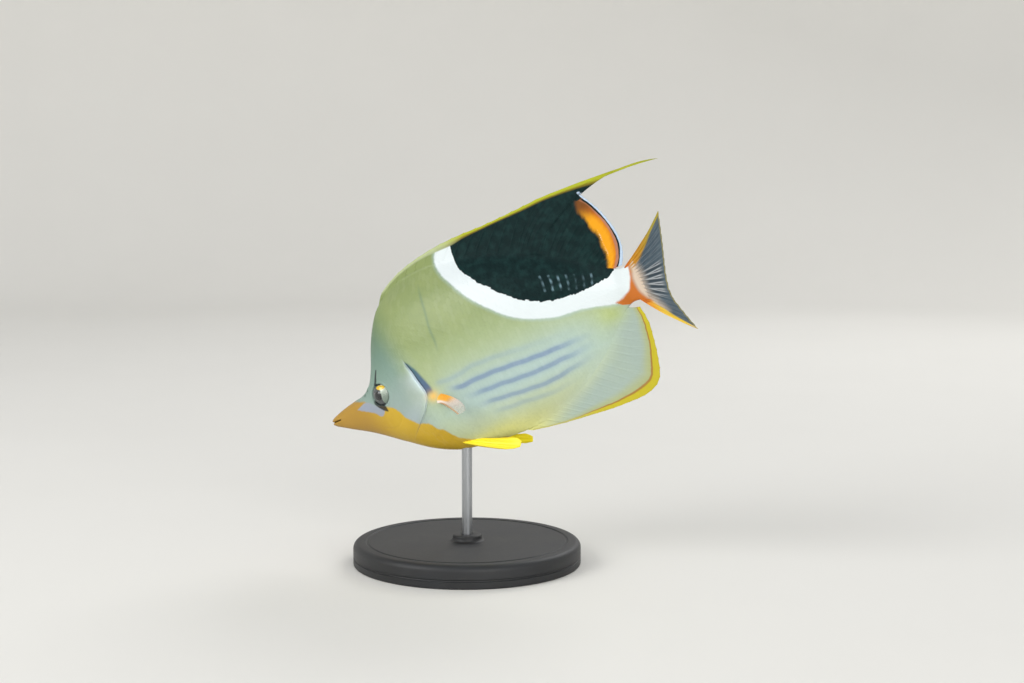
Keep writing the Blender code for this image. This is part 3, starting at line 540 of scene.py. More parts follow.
def makeFin(node, rays, slot, special, fieldsOf=None):      # rays: root, bow and tip of each
    look = {**plainLook, **special}
    t = np.linspace(0.0, 1.0, fin["rows"]) ** fin["crowd"]
    paths = np.stack([pathOf(*ray, t) for ray in rays])
    spines, last = look["spines"], len(rays) - 1
    steps = [k + np.array(fin["spineSteps" if k < spines else "raySteps"]) for k in range(last)]
    places = np.concatenate(steps + [[last]])
    sheet = between(paths, places)
    share = places - np.floor(places)
    spiny = smooth(spines - places + 0.2) if spines else np.zeros(len(places))
    notch = (spiny * fin["spineNotch"] + (1 - spiny) * fin["rayNotch"]) * (4 * share * (1 - share)) ** 0.6
    length = np.linalg.norm(np.diff(sheet, axis=1), axis=2).sum(1)
    pulled = np.clip(1 - notch / length, 0.5, 1.0)      # the edge dips between the rays
    index = np.clip(t[None, :] * pulled[:, None], 0, 1) ** (1 / fin["crowd"]) * (fin["rows"] - 1)
    low = np.clip(np.floor(index).astype(int), 0, fin["rows"] - 2)
    part = (index - low)[..., None]
    rows = np.arange(len(places))[:, None]
    sheet = sheet[rows, low] * (1 - part) + sheet[rows, low + 1] * part
    if "facing" in look:
        normal = np.broadcast_to(np.array(look["facing"], float), sheet.shape)
    else:
        normal = np.cross(np.gradient(sheet, axis=0), np.gradient(sheet, axis=1))
        normal /= np.linalg.norm(normal, axis=2, keepdims=True)

    share, spiny = share[:, None], spiny[:, None]
    width = np.linalg.norm(np.gradient(sheet, axis=0), axis=2) / np.gradient(places)[:, None]
    fork = fin["fork"] * rise(t, 0.35, 0.4) * (1 - spiny)
    twig = fin["twig"] * rise(t, 0.65, 0.3) * (1 - spiny)
    wide = np.where(spiny > 0.5, fin["spineWidth"], fin["rayWidth"]) * look["wider"] * (1.15 - 0.55 * t)
    ridge = np.zeros(sheet.shape[:2])
    for side, way, whole in itertools.product((-1, 1), (-1, 1), (0, 1)):
        ridge = np.maximum(ridge, hump((share - whole - (side * fork + way * twig)) * width, wide))
    rootHalf = look["rootHalf"]
    web = fin["webHalf"] + (rootHalf - fin["webHalf"]) * (1 - t) ** look["webPower"]
    rayHalf = spiny * look["spineHalf"] + (1 - spiny) * look["rayHalf"]
    ray = np.maximum(rayHalf + (rootHalf - rayHalf) * (1 - t) ** 2, web)
    ray = ray * (1 - 0.45 * rise(t, 0.8, 0.2))
    half = web + np.maximum(ray - web, 0.03) * ridge
    sway = look["sway"] * np.sin(share * 2 * math.pi) * smooth(t * 3)
    px, pz = sheet[..., 0], sheet[..., 2]
    lift, edge, shade, size = scaleField(px, pz, fin["tileSize"])
    sheath = smooth(1.25 - t / look["sheath"]) if "sheath" in look else np.zeros(px.shape)
    half = half + fin["tileHeight"] * (lift - 0.4) * sheath

    stretch = np.linalg.norm(np.diff(sheet, axis=1), axis=2)
    reach = np.concatenate([np.zeros((len(places), 1)), np.cumsum(stretch, axis=1)], axis=1)
    fields = {"tileEdge": edge * sheath, "tileShade": (shade - 0.5) * sheath, "ray": ridge, "reach": reach,
              "share": np.broadcast_to(t, px.shape), "fan": np.broadcast_to(places[:, None] / last, px.shape),
              "ring": 0.5 + 0.5 * np.sin(reach * 2 * math.pi / fin["ringEvery"])}
    if fieldsOf:
        fields.update(fieldsOf(px, pz, sheet[..., [0, 2]]))
    up, down = sheet + normal * (half + sway)[..., None], sheet - normal * (half - sway)[..., None]
    index = np.arange(ridge.size).reshape(ridge.shape)
    a, b, c, d = (part.ravel() for part in (index[:-1, :-1], index[:-1, 1:], index[1:, :-1], index[1:, 1:]))
    rim = np.concatenate([index[:, 0], index[-1, 1:], index[-2::-1, -1], index[0, -2:0:-1]])
    after, under = np.roll(rim, -1), ridge.size
    faces = [np.stack(corners, 1) for corners in (
        (a, b, d), (a, d, c), (under + a, under + d, under + b), (under + a, under + c, under + d),
        (rim, under + after, under + rim), (rim, after, under + after))]
    points = placed(np.concatenate([up.reshape(-1, 3), down.reshape(-1, 3)]))
    both = {label: np.concatenate([values.ravel()] * 2) for label, values in fields.items()}
    return makePiece(node + "_sheet", points, np.concatenate(faces), slot, both, node)


def onEdge(line, x, outward):      # a root point, sunk into the crest
    return np.array([x, 0.0, float(line(x)) - outward * fin["rootIn"]])


def bowOf(root, tip, lean):
    way = tip - root
    return 0.5 * (root + tip) + lean * np.array([-way[2], 0.0, way[0]])


def flat(pair):
    return np.array([pair[0], 0.0, pair[1]])


dorsal = {"firstRay": (46.6, (46.8, 40.4), (47.4, 41.8)), "spines": 14, "spineRoots": (49.5, 121.0),
          "rayRoots": (124.5, 165.5), "rearRays": 15,
          "spineTips": [(52.8, 47.9), (59, 50.9), (66, 53.3), (72.7, 54.7), (79, 55.6), (91, 56.4),
                        (102, 56.2), (113, 55.4), (125, 55), (138, 54.9)],
          "upperTips": [(145, 54.8), (153, 54.2)], "upperBows": [(134, 47.2), (137, 48.8)],
          "filamentTips": [(168, 52.5), (195, 48.4), (223.4, 42.4), (198, 47), (168.6, 50.3)],
          "filamentBows": [(141, 52.6), (147, 56.2), (167.7, 59.5), (158, 57.5), (152, 52)],
          "rearTips": [(166.3, 48.9), (168.2, 45.8), (170.8, 41.6), (173.4, 37.1), (175.6, 31.6),
                       (177.1, 26.6), (177.6, 21.5), (177, 16.8), (175.4, 12.8), (172.8, 9.2)],
          "edges": (("orange", 8, 45.3), ("salmon", 8, 45.2), ("darkLine", 9, 45.1), ("rim", 9, 48.6)),
          "orange": [(163.1, 45.3), (161.9, 41.6), (164.3, 35.1), (164.9, 31.4), (167, 26.8), (167, 23),
                     (166.7, 18.5), (166.1, 14.6), (164.9, 10.9), (164.1, 8.7)],
          "salmon": [(165, 45.1), (168.3, 41.5), (170.7, 36.5), (172.9, 30.9), (174.1, 25.4), (173.8, 19.7),
                     (172.4, 15.3), (169.7, 11.4), (166.4, 8.6)],
          "darkLine": [(166.4, 45), (169, 41.4), (171.9, 35.8), (174.1, 31.1), (175.4, 24.9), (175.5, 19.8),
                       (174.1, 15.4), (172.2, 12), (169.6, 9.7)],
          "rim": [(165.6, 48.6), (167.5, 44.8), (169.8, 41.5), (172.1, 37.1), (174.3, 31.6), (175.7, 26.4),
                  (176.4, 22), (176, 18), (174.3, 14.5), (172.6, 11.9), (170.1, 9.1)],
          "top": [(40, 46), (54, 48.6), (60, 51.2), (66, 53.1), (72.7, 54.5), (79, 55.4), (91, 56.3),
                  (102.7, 56.1), (113.7, 55.2), (125, 54.8), (136, 54.6), (147.2, 54.5), (158.3, 53.5),
                  (169.9, 52.2), (182.1, 50.6), (195.1, 48.4), (209.5, 45.9), (224, 42.3), (235, 40)],
          "threadWidth": [(40, 1.1), (70, 1.3), (80, 1.7), (88, 2.6), (95, 3.1), (104, 2.2), (112, 1.6),
                          (140, 1.7), (160, 2.0), (168, 2.4), (178, 3.2), (190, 5), (235, 5)]}


def dorsalFields(px, pz, sheet):
    fields = markFields(px, pz)
    for label, low, high in dorsal["edges"]:
        fields[label] = into(px, pz, dorsal[label], [(230, low), (230, high)])
    orange, salmon = fields["orange"], fields["salmon"]
    fields["orangeShare"] = np.clip(orange / np.maximum(orange - salmon, 0.1), 0, 1)
    fields["rim"] = np.minimum(fields["rim"], 167.8 - px + 0.9 * (48.3 - pz))      # ends below the filament
    fields["saddle"] = np.where((px > 160) & (pz > 40), 5.0, fields["saddle"])
    fields["high"] = rise(pz, 33, 10)
    below = curve(dorsal["top"])(px) - pz
    width = curve(dorsal["threadWidth"])(px)
    fields["thread"] = smooth((width + 0.3 - below) / 0.7)
    fields["threadLow"] = smooth((below / width - 0.35) / 0.5)
    fields["threadCream"] = fall(px, 106, 20)
    return fields


def makeDorsal():
    x, bow, tip = dorsal["firstRay"]
    rays = [(onEdge(backLine, x, 1), flat(bow), flat(tip))]
    tips = along(dorsal["spineTips"], dorsal["spines"])
    for x, tip in zip(np.linspace(*dorsal["spineRoots"], dorsal["spines"]), tips):
        root = onEdge(backLine, x, 1)
        rays.append((root, bowOf(root, flat(tip), 0.06), flat(tip)))
    rear = along(dorsal["rearTips"], dorsal["rearRays"])
    tips = dorsal["upperTips"] + dorsal["filamentTips"] + list(rear)
    bows = dorsal["upperBows"] + dorsal["filamentBows"]
    for k, x in enumerate(np.linspace(*dorsal["rayRoots"], len(tips))):
        root, tip = onEdge(backLine, x, 1), flat(tips[k])
        rays.append((root, flat(bows[k]) if k < len(bows) else bowOf(root, tip, 0.08), tip))
    look = {"spines": dorsal["spines"] + 1, "facing": (0, 1, 0), "sheath": 0.55, "rootHalf": 0.66,
            "rayHalf": 0.2, "spineHalf": 0.27, "sway": 0.05}
    return makeFin("dorsal_fin", rays, "dorsal_fin", look, dorsalFields)


anal = {"spineRoots": (92.0, 104.0), "spineTips": [(97.5, -43.3), (105.5, -44.8), (114.5, -46.2)], "rays": 20,
        "rayRoots": (108.0, 164.5),
        "rayTips": [(122, -47.1), (145, -49.2), (158.5, -48.8), (163.6, -47.2), (166.8, -44.6),
                    (170.2, -36.8), (172.7, -26.5), (173.8, -18.2), (172.6, -11.4)]}


def analFields(px, pz, sheet):
    fields = markFields(px, pz)
    width = curve([(90, 0.3), (118, 0.7), (132, 1.6), (144, 2.3), (156, 3.4), (165, 3.6), (180, 3.4)])(px)
    width = width - 1.3 * rise(pz, -40, 14) - 0.8 * rise(pz, -22, 10)
    fields["margin"] = nearLine(px, pz, sheet[:, -1])[0] / width
    fields["front"] = rise(px, 108, 30)
    return fields


def makeAnal():
    rays = []
    tips = anal["spineTips"] + list(along(anal["rayTips"], anal["rays"]))
    roots = [*np.linspace(*anal["spineRoots"], 3), *np.linspace(*anal["rayRoots"], anal["rays"])]
    for x, tip in zip(roots, tips):
        root = onEdge(bellyLine, x, -1)
        rays.append((root, bowOf(root, flat(tip), -0.06), flat(tip)))
    look = {"spines": 3, "facing": (0, 1, 0), "sheath": 0.6, "rootHalf": 0.66, "rayHalf": 0.17, "sway": 0.02}
    return makeFin("anal_fin", rays, "anal_fin", look, analFields)


caudal = {"rays": 17, "rootHalf": 1.5, "lean": -0.1,
          "pale": [(181.8, 10), (182.3, 5.5), (182.5, 0.5), (181.4, -4), (182.2, -8.3), (184.8, -12.9),
                   (188, -19)],
          "tips": [(206.9, 22.8), (200, 8), (196.6, 1), (193.6, -6.3), (192.4, -12.8), (194.6, -20.6),
                   (199.2, -31.8)]}


def caudalFields(px, pz, sheet):
    away = [nearLine(px, pz, line)[0] for line in (sheet[:, -1], sheet[0], sheet[-1])]
    far = rise(px, 178, 24)
    return {"margin": away[0], "upper": away[1] / (3.9 - 2.7 * far), "lower": away[2] / (2.6 - 1.9 * far),
            "emberEnd": into(px, pz, marks["emberEnd"], [(165, -11.4), (165, 9.6)]),
            "pale": into(px, pz, caudal["pale"], [(165, -19), (165, 10)]),
            "streaks": (fall(pz, 5, 4) * rise(pz, -14, 5) * rise(px, 181, 3)
                        * smooth((away[0] - 0.6) / 3.5))}


def makeCaudal():
    rays = []
    top, low = float(backLine(body["stalkEnd"])) - 0.2, float(bellyLine(body["stalkEnd"])) + 0.2
    tips = along(caudal["tips"], caudal["rays"])
    for k, z in enumerate(np.linspace(top, low, caudal["rays"])):
        root = np.array([body["stalkEnd"] + 0.3, 0.0, z])
        tip = flat(tips[k])
        way = tip - root
        sunk = root - way / np.linalg.norm(way) * 2.0 * np.array([1, 1, 0.4])
        rays.append((sunk, bowOf(root, tip, caudal["lean"] * (k / (caudal["rays"] - 1)) ** 2), tip))
    look = {"facing": (0, 1, 0), "rootHalf": caudal["rootHalf"], "webPower": 5.0, "sway": 0.1}
    return makeFin("caudal_fin", rays, "caudal_fin", look, caudalFields)


pectoral = {"rays": 15, "base": ((62.8, -13.2), (63.6, -8.2)), "rootHalf": 1.05, "length": 29.5, "sunk": 2.5,
            "shortening": 0.54, "taper": 1.7, "bow": 0.09,
            "headings": [(0.579, 0.755, -0.306), (0.686, 0.604, -0.405), (0.787, 0.354, -0.504)]}
pelvic = {"rays": 6, "base": ((62.0, 5.4, -34.5), (68.5, 4.6, -35.5)), "rootHalf": 1.1, "bow": -0.5,
          "tips": [(84.5, 9.4, -46.2), (91.6, 8.2, -47.6), (92.6, 7.4, -46.2), (91.4, 6.6, -44),
                   (87.5, 5.8, -42.2)]}


def makePectoral(node, side):
    rays = []
    for k, heading in enumerate(along(pectoral["headings"], pectoral["rays"])):
        u = k / (pectoral["rays"] - 1)
        x, z = (1 - u) * np.array(pectoral["base"][0]) + u * np.array(pectoral["base"][1])
        heading = heading / np.linalg.norm(heading) * np.array([1, side, 1])
        start = np.array([x, side * (float(flank(x, z)) - pectoral["sunk"]), z])
        length = pectoral["length"] * (1.0 - pectoral["shortening"] * u ** pectoral["taper"])
        reach = pectoral["sunk"] + length
        tip = start + heading * reach
        rays.append((start, 0.5 * (start + tip) + (0, 0, pectoral["bow"] * reach), tip))
    look = {"rootHalf": pectoral["rootHalf"], "webPower": 5.0, "wider": 0.8, "sway": 0.05}
    return makeFin(node, rays, "pectoral_fin", look)


def makePelvic(node, side):
    rays = []
    first, last = (np.array(p) for p in pelvic["base"])
    for k, tip in enumerate(along(pelvic["tips"], pelvic["rays"])):
        u = k / (pelvic["rays"] - 1)
        start, tip = ((1 - u) * first + u * last) * (1, side, 1), tip * (1, side, 1)
        rays.append((start, 0.5 * (start + tip) + (0, 0, pelvic["bow"]), tip))
    look = {"rootHalf": pelvic["rootHalf"], "webPower": 5.0, "spines": 1, "sway": 0.04}
    return makeFin(node, rays, "pelvic_fin", look)


fins = {"dorsal": [makeDorsal()], "anal": [makeAnal()], "caudal": [makeCaudal()],
        "pectoral": [makePectoral("pectoral_fin_left", -1), makePectoral("pectoral_fin_right", 1)],
        "pelvic": [makePelvic("pelvic_fin_left", -1), makePelvic("pelvic_fin_right", 1)]}
print("fins made:", sum(len(p.data.polygons) for group in fins.values() for p in group), "faces")

# eyes: a pupil that bulges through a ring of iris, under one glossy coat
eyeball = {"rings": 40, "turns": 96, "pupil": 2.3, "pupilBulge": 0.16, "pupilAt": (-0.6, -0.3),
           "irisDip": 0.12}


def makeEye(node, side):
    lie = np.array(eyeFrame(side) @ Matrix.Translation((0, 0, eye["standsOut"] - eye["depth"])))
    radius = np.sin(np.linspace(0.004, math.pi / 2, eyeball["rings"])) * eye["radius"]
    turn = np.linspace(0, 2 * math.pi, eyeball["turns"], endpoint=False)
    r, a = np.meshgrid(radius, turn, indexing="ij")
    x, y = r * np.cos(a), r * np.sin(a)
    z = eye["depth"] * np.sqrt(np.clip(1 - (r / eye["radius"]) ** 2, 0, 1))
    ahead, up = (x * way[0] + y * way[1] for way in (-lie[0], lie[2]))      # in the eye's own plane
    pupilBack, pupilUp = eyeball["pupilAt"]
    offPupil = np.hypot(ahead + pupilBack, up - pupilUp)
    z = z + eyeball["pupilBulge"] * smooth((eyeball["pupil"] - offPupil) / 0.7)
    z = z - eyeball["irisDip"] * hump(offPupil - eyeball["pupil"] - 0.25, 0.35)
    ends = [[0, 0, z[0, 0]], [0, 0, -eye["depth"] * 0.6]]
    points = np.concatenate([np.stack([x, y, z], -1).reshape(-1, 3), ends])
    points = points @ lie[:3, :3].T + lie[:3, 3]
    fields = {"pupil": (eyeball["pupil"] - offPupil, -3.0), "ahead": (ahead, 0.0), "up": (up, 0.0),
              "outer": (eye["radius"] - r, 0.0)}      # with the value at the back of the ball
    whole = {label: np.concatenate([values.ravel(), [values[0, 0], back]])
             for label, (values, back) in fields.items()}
    return makePiece(node + "_ball", placed(points), tubeFaces(*r.shape), "eye", whole, node)


eyes = [makeEye("eye_left", -1), makeEye("eye_right", 1)]
print("eyes made")

# stand: a turned black base and a brushed steel rod
stand = {"radius": 55.0, "height": 11.0, "bossRadius": 7.0, "bossHeight": 14.0, "rodRadius": 2.5,
         "rodFoot": 4.0, "turns": 192}


def lathe(node, profile):
    profile = np.array(profile, float)
    a = np.linspace(0, 2 * math.pi, stand["turns"], endpoint=False)
    rings = np.stack([profile[:, :1] * np.cos(a), profile[:, :1] * np.sin(a),
                      np.repeat(profile[:, 1:], len(a), axis=1)], -1)
    ends = [[0, 0, profile[0, 1]], [0, 0, profile[-1, 1]]]
    points = np.concatenate([rings.reshape(-1, 3), ends]) * mm
    piece = makePiece(node + "_turned", points, tubeFaces(len(profile), len(a)), node, {}, node)
    piece.data.set_sharp_from_angle(angle=math.radians(35))
    return piece


def rounded(corner, radius, start, count=8):      # a quarter round, start is its first direction in degrees
    a = np.radians(start + np.linspace(0, 90, count))
    return [(corner[0] + radius * math.cos(k), corner[1] + radius * math.sin(k)) for k in a]


def makeStand():
    r, h, boss, bossTop = stand["radius"], stand["height"], stand["bossRadius"], stand["bossHeight"]
    profile = rounded((r - 0.8, 0.8), 0.8, -90)
    profile += [(r - 0.55 * math.sin(k), 4.0 - 0.6 * math.cos(k)) for k in np.linspace(0, math.pi, 7)]
    profile += [(r, 4.7)] + rounded((r - 3.0, h - 3.0), 3.0, 0)
    profile += [(r - 6.0, h), (r - 6.5, h - 0.45), (r - 7.1, h - 0.45), (r - 7.6, h)]
    profile += [(boss + 2.2, h)] + [(boss + 1.6 - 1.6 * math.sin(k), h + 1.6 - 1.6 * math.cos(k))
                                    for k in np.linspace(0.1, math.pi / 2, 6)]
    profile += rounded((boss - 0.9, bossTop - 0.9), 0.9, 0)
    profile += [(stand["rodRadius"] + 0.35, bossTop), (stand["rodRadius"] + 0.1, bossTop - 0.4)]
    base = lathe("stand_base", profile)
    low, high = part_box("stand_rod")
    rod = stand["rodRadius"]
    top = high[2] / mm - 0.4
    profile = [(rod, stand["rodFoot"])] + [(rod, z) for z in np.linspace(8, top - 1.0, 12)]
    profile += rounded((rod - 0.8, top - 0.8), 0.8, 0, 5)
    return base, lathe("stand_rod", profile)


standBase, standRod = makeStand()
print("stand made")


# finishes
def tone(code):          # a colour written as red, green and blue in hex
    parts = [int(code[k:k + 2], 16) / 255 for k in (0, 2, 4)]
    return tuple(c / 12.92 if c <= 0.04045 else ((c + 0.055) / 1.055) ** 2.4 for c in parts) + (1.0,)


class Wire:              # a socket that takes part in plain arithmetic
    def __init__(self, finish, socket):
        self.finish = finish
        self.socket = socket

    def maths(self, operation, first, second):
        return self.finish.node("ShaderNodeMath", {"operation": operation}, {0: first, 1: second})

    def __add__(self, other):
        return self.maths("ADD", self, other)

    def __radd__(self, other):
        return self.maths("ADD", other, self)

    def __sub__(self, other):
        return self.maths("SUBTRACT", self, other)

    def __rsub__(self, other):
        return self.maths("SUBTRACT", other, self)

    def __mul__(self, other):
        return self.maths("MULTIPLY", self, other)

    def __rmul__(self, other):
        return self.maths("MULTIPLY", other, self)

    def __or__(self, other):           # the larger of two
        return self.maths("MAXIMUM", self, other)


class Finish:
    def __init__(self, name, shaderValues):
        self.material = bpy.data.materials.new(name)
        self.material.use_nodes = True
        self.tree = self.material.node_tree
        self.shader = self.tree.nodes["Principled BSDF"]
        self.colour = None
        for socket, value in shaderValues.items():
            self.shader.inputs[socket].default_value = value

    def node(self, kind, settings, inputs, output=0):
        made = self.tree.nodes.new(kind)
        for setting, value in settings.items():
            if setting == "stops":
                while len(made.color_ramp.elements) < len(value):
                    made.color_ramp.elements.new(0.5)
                for element, (place, label) in zip(made.color_ramp.elements, value):
                    element.position = place
                    element.color = tints[label]
            else:
                setattr(made, setting, value)
        for socket, value in inputs.items():
            if isinstance(value, Wire):
                self.tree.links.new(value.socket, made.inputs[socket])
            else:
                made.inputs[socket].default_value = value
        return Wire(self, made.outputs[output])

    def field(self, label):
        return self.node("ShaderNodeAttribute", {"attribute_name": label}, {}, "Fac")

    def noise(self, scale, detail=3.0, roughness=0.55, stretch=None):
        at = self.node("ShaderNodeTexCoord", {}, {}, "Object")
        if stretch:
            at = self.node("ShaderNodeMapping", {}, {"Vector": at, "Scale": stretch})
        values = {"Vector": at, "Scale": scale, "Detail": detail, "Roughness": roughness}
        return self.node("ShaderNodeTexNoise", {}, values)

    def fade(self, value, low, high):      # 0 at low, 1 at high
        return self.node("ShaderNodeMapRange", {"interpolation_type": "SMOOTHSTEP"},
                         {"Value": value, "From Min": low, "From Max": high})

    def ramp(self, value, *stops):
        return self.node("ShaderNodeValToRGB", {"stops": stops}, {"Fac": value})

    def mix(self, share, *colours):        # each a tint's name or a wire
        first, second = (tints[colour] if isinstance(colour, str) else colour for colour in colours)
        return self.node("ShaderNodeMix", {"data_type": "RGBA"}, {0: share, 6: first, 7: second}, 2)

    def paint(self, colour, share):        # over the colour so far
        self.colour = self.mix(share, self.colour, colour)

    def bump(self, height, distance, strength=1.0, under=None):
        inputs = {"Height": height, "Distance": distance, "Strength": strength}
        if under is not None:
            inputs["Normal"] = under
        return self.node("ShaderNodeBump", {}, inputs)

    def feed(self, **links):
        for label, wire in {"Base Color": self.colour, **links}.items():
            self.tree.links.new(wire.socket, self.shader.inputs[label.replace("_", " ")])
        return self.material


tints = {"belly": "C0C28C", "lowFlank": "C0CAA0", "flank": "B4C8B4", "midFlank": "A8B78E", "olive": "8B9A68",
         "back": "84925D", "rear": "9FAFA6", "haze": "A6BEC8", "headLow": "9AAAA8", "headMid": "8FA39F",
         "headUp": "7D978E", "headDark": "69857A", "headTop": "5F785A", "cheek": "ABB6C4",
         "mustard": "CAA632", "snout": "AC8638", "mustardDeep": "B48E2A", "patch": "929FB2",
         "stripe": "8DA4B4", "stripeCore": "778DAA",
         # the rim tint is a painted highlight along the gill cover's rear edge
         # the two slate tints are painted shade in the gill opening behind the gill cover's edge, darker high
         # up
         "slateTop": "3C6270", "slate": "4A6084", "rim": "D8EBF5", "bar": "1E2224", "white": "D8E0E2",
         # the dash tint is a painted glint on the scale edges in the black saddle
         "black": "021C1D", "blackLight": "12302F", "blackRay": "26383C", "dash": "8FB2C0", "ember": "BE6A24",
         "tinge": "E6E27C", "glow": "B5C352", "shoulder": "5F7B66", "thread": "A9AE2C", "threadLow": "77691E",
         "cream": "B0BA8C", "creamLow": "A2AC86", "orange": "E89F1C", "orangeDeep": "C46C20",
         "orangeHigh": "74461F", "salmon": "B07A60", "finRim": "B6C9DE", "margin": "BDB02E",
         "marginSoft": "A9AC6A", "brown": "9E6C2C", "tailWeb": "4C5C67", "tailDark": "333E46",
         "tailStreak": "B9BEC2", "tailUp": "C08A2C", "tailUpTip": "A4963C", "tailLow": "DC9230",
         "tailLowTip": "DAB83C", "pink": "CBB9A6", "fanBase": "F8C050", "fanRay": "D09448",
         "fanWhite": "FFF9F0", "fanPink": "EBCFC2",
         # the tint for the hollows is painted shade for mouth, nostrils, gill slit and eye socket
         "pelvic": "FFF024", "pelvicDeep": "F2D40E", "sun": "B4BC7C", "shade": "76855E", "hollow": "1E1A14",
         "iris": "7E8C80", "irisLight": "C2CCBE", "irisYellow": "DCB61E", "irisDark": "383C40",
         "irisEdge": "A9A8AE", "pupil": "0A0C0E", "baseDark": "17181A", "baseLight": "202226",
         "steelDark": "8E9093", "steel": "B9BCC0", "floor": "E9E7E2", "floorShade": "DEDCD6"}
tints = {label: tone(code) for label, code in tints.items()}
tints.update(tileLight=(1, 1, 1, 1), tileDark=(0.1, 0.14, 0.1, 1), tileLine=(0.12, 0.16, 0.12, 1))


def scaleTouch(f, amount=1.0):      # each scale a shade lighter or darker, with a fine line at its edge
    shade = f.field("tileShade")
    f.paint("tileLight", f.fade(shade, 0.0, 0.5) * (0.018 * amount))
    f.paint("tileDark", f.fade(shade, 0.0, -0.5) * (0.025 * amount))
    f.paint("tileLine", f.field("tileEdge") * (0.07 * amount))


def groundTouch(f):      # trunk and upright fins under the bold marks
    height = f.field("height") + (f.noise(90, 2) - 0.5) * 0.06
    f.colour = f.ramp(height, (0.0, "belly"), (0.14, "lowFlank"), (0.27, "flank"), (0.44, "midFlank"),
                      (0.66, "olive"), (1.0, "back"))
    f.paint("rear", f.field("rear"))
    f.paint("tinge", f.field("tinge") * 0.65)
    f.paint("glow", f.field("glow") * 0.45)
    f.paint("sun", f.fade(f.noise(55, 2), 0.4, 0.75) * 0.10)
    f.paint("shade", f.fade(f.noise(800, 2), 0.45, 0.8) * 0.08)


def saddleTouch(f):      # the white band and the black saddle, gives back where it is black
    wobble = f.noise(420, 2) - 0.5
    band = f.field("band") + wobble * 0.8
    f.paint("haze", f.fade(band, -2.2, 0.4) * 0.45)
    f.paint("white", f.fade(band, -0.6, 0.5))
    night = f.mix(f.fade(f.noise(260, 3), 0.38, 0.75) * 0.8, "black", "blackLight")
    teeth = f.field("tileShade") * 0.9 - f.field("tileEdge") * 0.3
    black = f.fade(f.field("saddle") + wobble * 0.6 + teeth, -0.14, 0.18)
    f.paint(night, black)
    return black


def skinFinish():
    f = Finish("fish_skin", {"Coat Roughness": 0.25, "Specular IOR Level": 0.12})
    wobble = f.noise(330, 3) - 0.5
    groundTouch(f)
    head = f.ramp(f.field("height"), (0.34, "headLow"), (0.46, "headMid"), (0.56, "headUp"),
                  (0.68, "headDark"), (0.84, "headTop"), (1.0, "back"))
    f.paint(head, f.field("head") * 0.92)
    f.paint("cheek", f.field("cheek") * 0.35)
    f.paint("shoulder", f.field("shoulder") * 0.5)
    f.paint("haze", f.field("haze") * 0.5)
    stripe = f.field("stripe")
    f.paint(f.mix(f.fade(stripe, 0.3, 1.0), "stripe", "stripeCore"), stripe * 0.86)
    # painted shade in the gill opening behind the gill cover's edge, slate blue
    f.paint(f.mix(f.field("slateLow"), "slateTop", "slate"), f.field("slate") * 0.94)
    yellow = f.mix(f.fade(f.field("toSnout"), 0.0, 1.0), "mustard", "snout")
    yellow = f.mix(f.fade(f.noise(140, 3), 0.45, 0.75) * 0.35, yellow, "mustardDeep")
    f.paint(yellow, f.fade(f.field("mustard") + wobble * 1.8, -0.6, 0.5))
    f.paint("patch", f.fade(f.field("patch") + wobble * 1.2, -0.5, 0.4) * 0.9)
    # painted highlight along the gill cover's rear edge
    f.paint("rim", f.field("rim") * 0.95)
    f.paint("bar", f.field("bar") * 0.92)
    f.paint("fanBase", f.field("root") * 0.75)
    scaleTouch(f)
    black = saddleTouch(f)
    # painted glints on the scale edges, only inside the black
    f.paint("dash", f.field("dash") * black * 0.6)
    emberEnd = f.field("emberEnd")
    f.paint("pink", f.fade(emberEnd, 1.0, -1.5))
    f.paint("ember", f.fade(f.field("ember") + wobble * 1.2, -0.8, 0.6) * f.fade(emberEnd, -1.5, 1.0))
    # painted shade in the mouth, nostrils, gill slit and eye socket
    hollow = f.field("hollow")
    f.paint("hollow", hollow * 0.85)
    grain = f.bump(f.noise(2600, 3), 0.00006, 0.5)
    return f.feed(Roughness=0.42 + f.noise(500, 2) * 0.16 + black * 0.12 + hollow * 0.2,
                  Coat_Weight=0.3 - black * 0.29, Normal=f.bump(f.field("tileEdge"), 0.00006, 0.5, grain))


def finBump(f, rayHeight=0.4, grain=0.5):
    ray = f.field("ray")
    rings = f.field("ring") * ray
    height = rings * (0.1 + 0.5 * rayHeight) + f.noise(1800, 3) * grain + ray * rayHeight
    return f.bump(height, 0.0001, 0.6)


def finFinish(name, coat=0.08, coatRough=0.3, specular=0.12):
    return Finish(name, {"Coat Weight": coat, "Coat Roughness": coatRough, "Specular IOR Level": specular})


def dorsalFinish():
    f = finFinish("dorsal_fin", 0.03)
    groundTouch(f)
    scaleTouch(f)
    ray, high = f.field("ray"), f.field("high")
    f.paint("sun", ray * 0.04)
    f.paint("blackRay", ray * saddleTouch(f) * 0.06)
    streak = f.noise(420, 3, 0.6, (1.0, 1.0, 0.35)) - 0.5
    across = f.field("orangeShare") + streak * 0.4 + high * 0.4
    flame = f.mix(high, f.mix(f.fade(across, 0.55, 1.15), "orange", "orangeDeep"), "orangeHigh")
    f.paint(flame, f.fade(f.field("orange") + streak * 3.2, -1.0, 2.0))
    f.paint(f.mix(high * 0.6, "salmon", "orangeHigh"), f.fade(f.field("salmon"), -0.4, 0.3))
    f.paint("black", f.fade(f.field("darkLine"), -0.25, 0.1))
    f.paint("finRim", f.fade(f.field("rim"), 0.0, 0.25))
    low = f.field("threadLow")
    cream, thread = f.mix(low, "cream", "creamLow"), f.mix(low, "thread", "threadLow")
    f.paint(f.mix(f.field("threadCream"), thread, cream), f.field("thread"))
    return f.feed(Roughness=0.5 + f.noise(500, 2) * 0.14, Normal=finBump(f, 0.2))


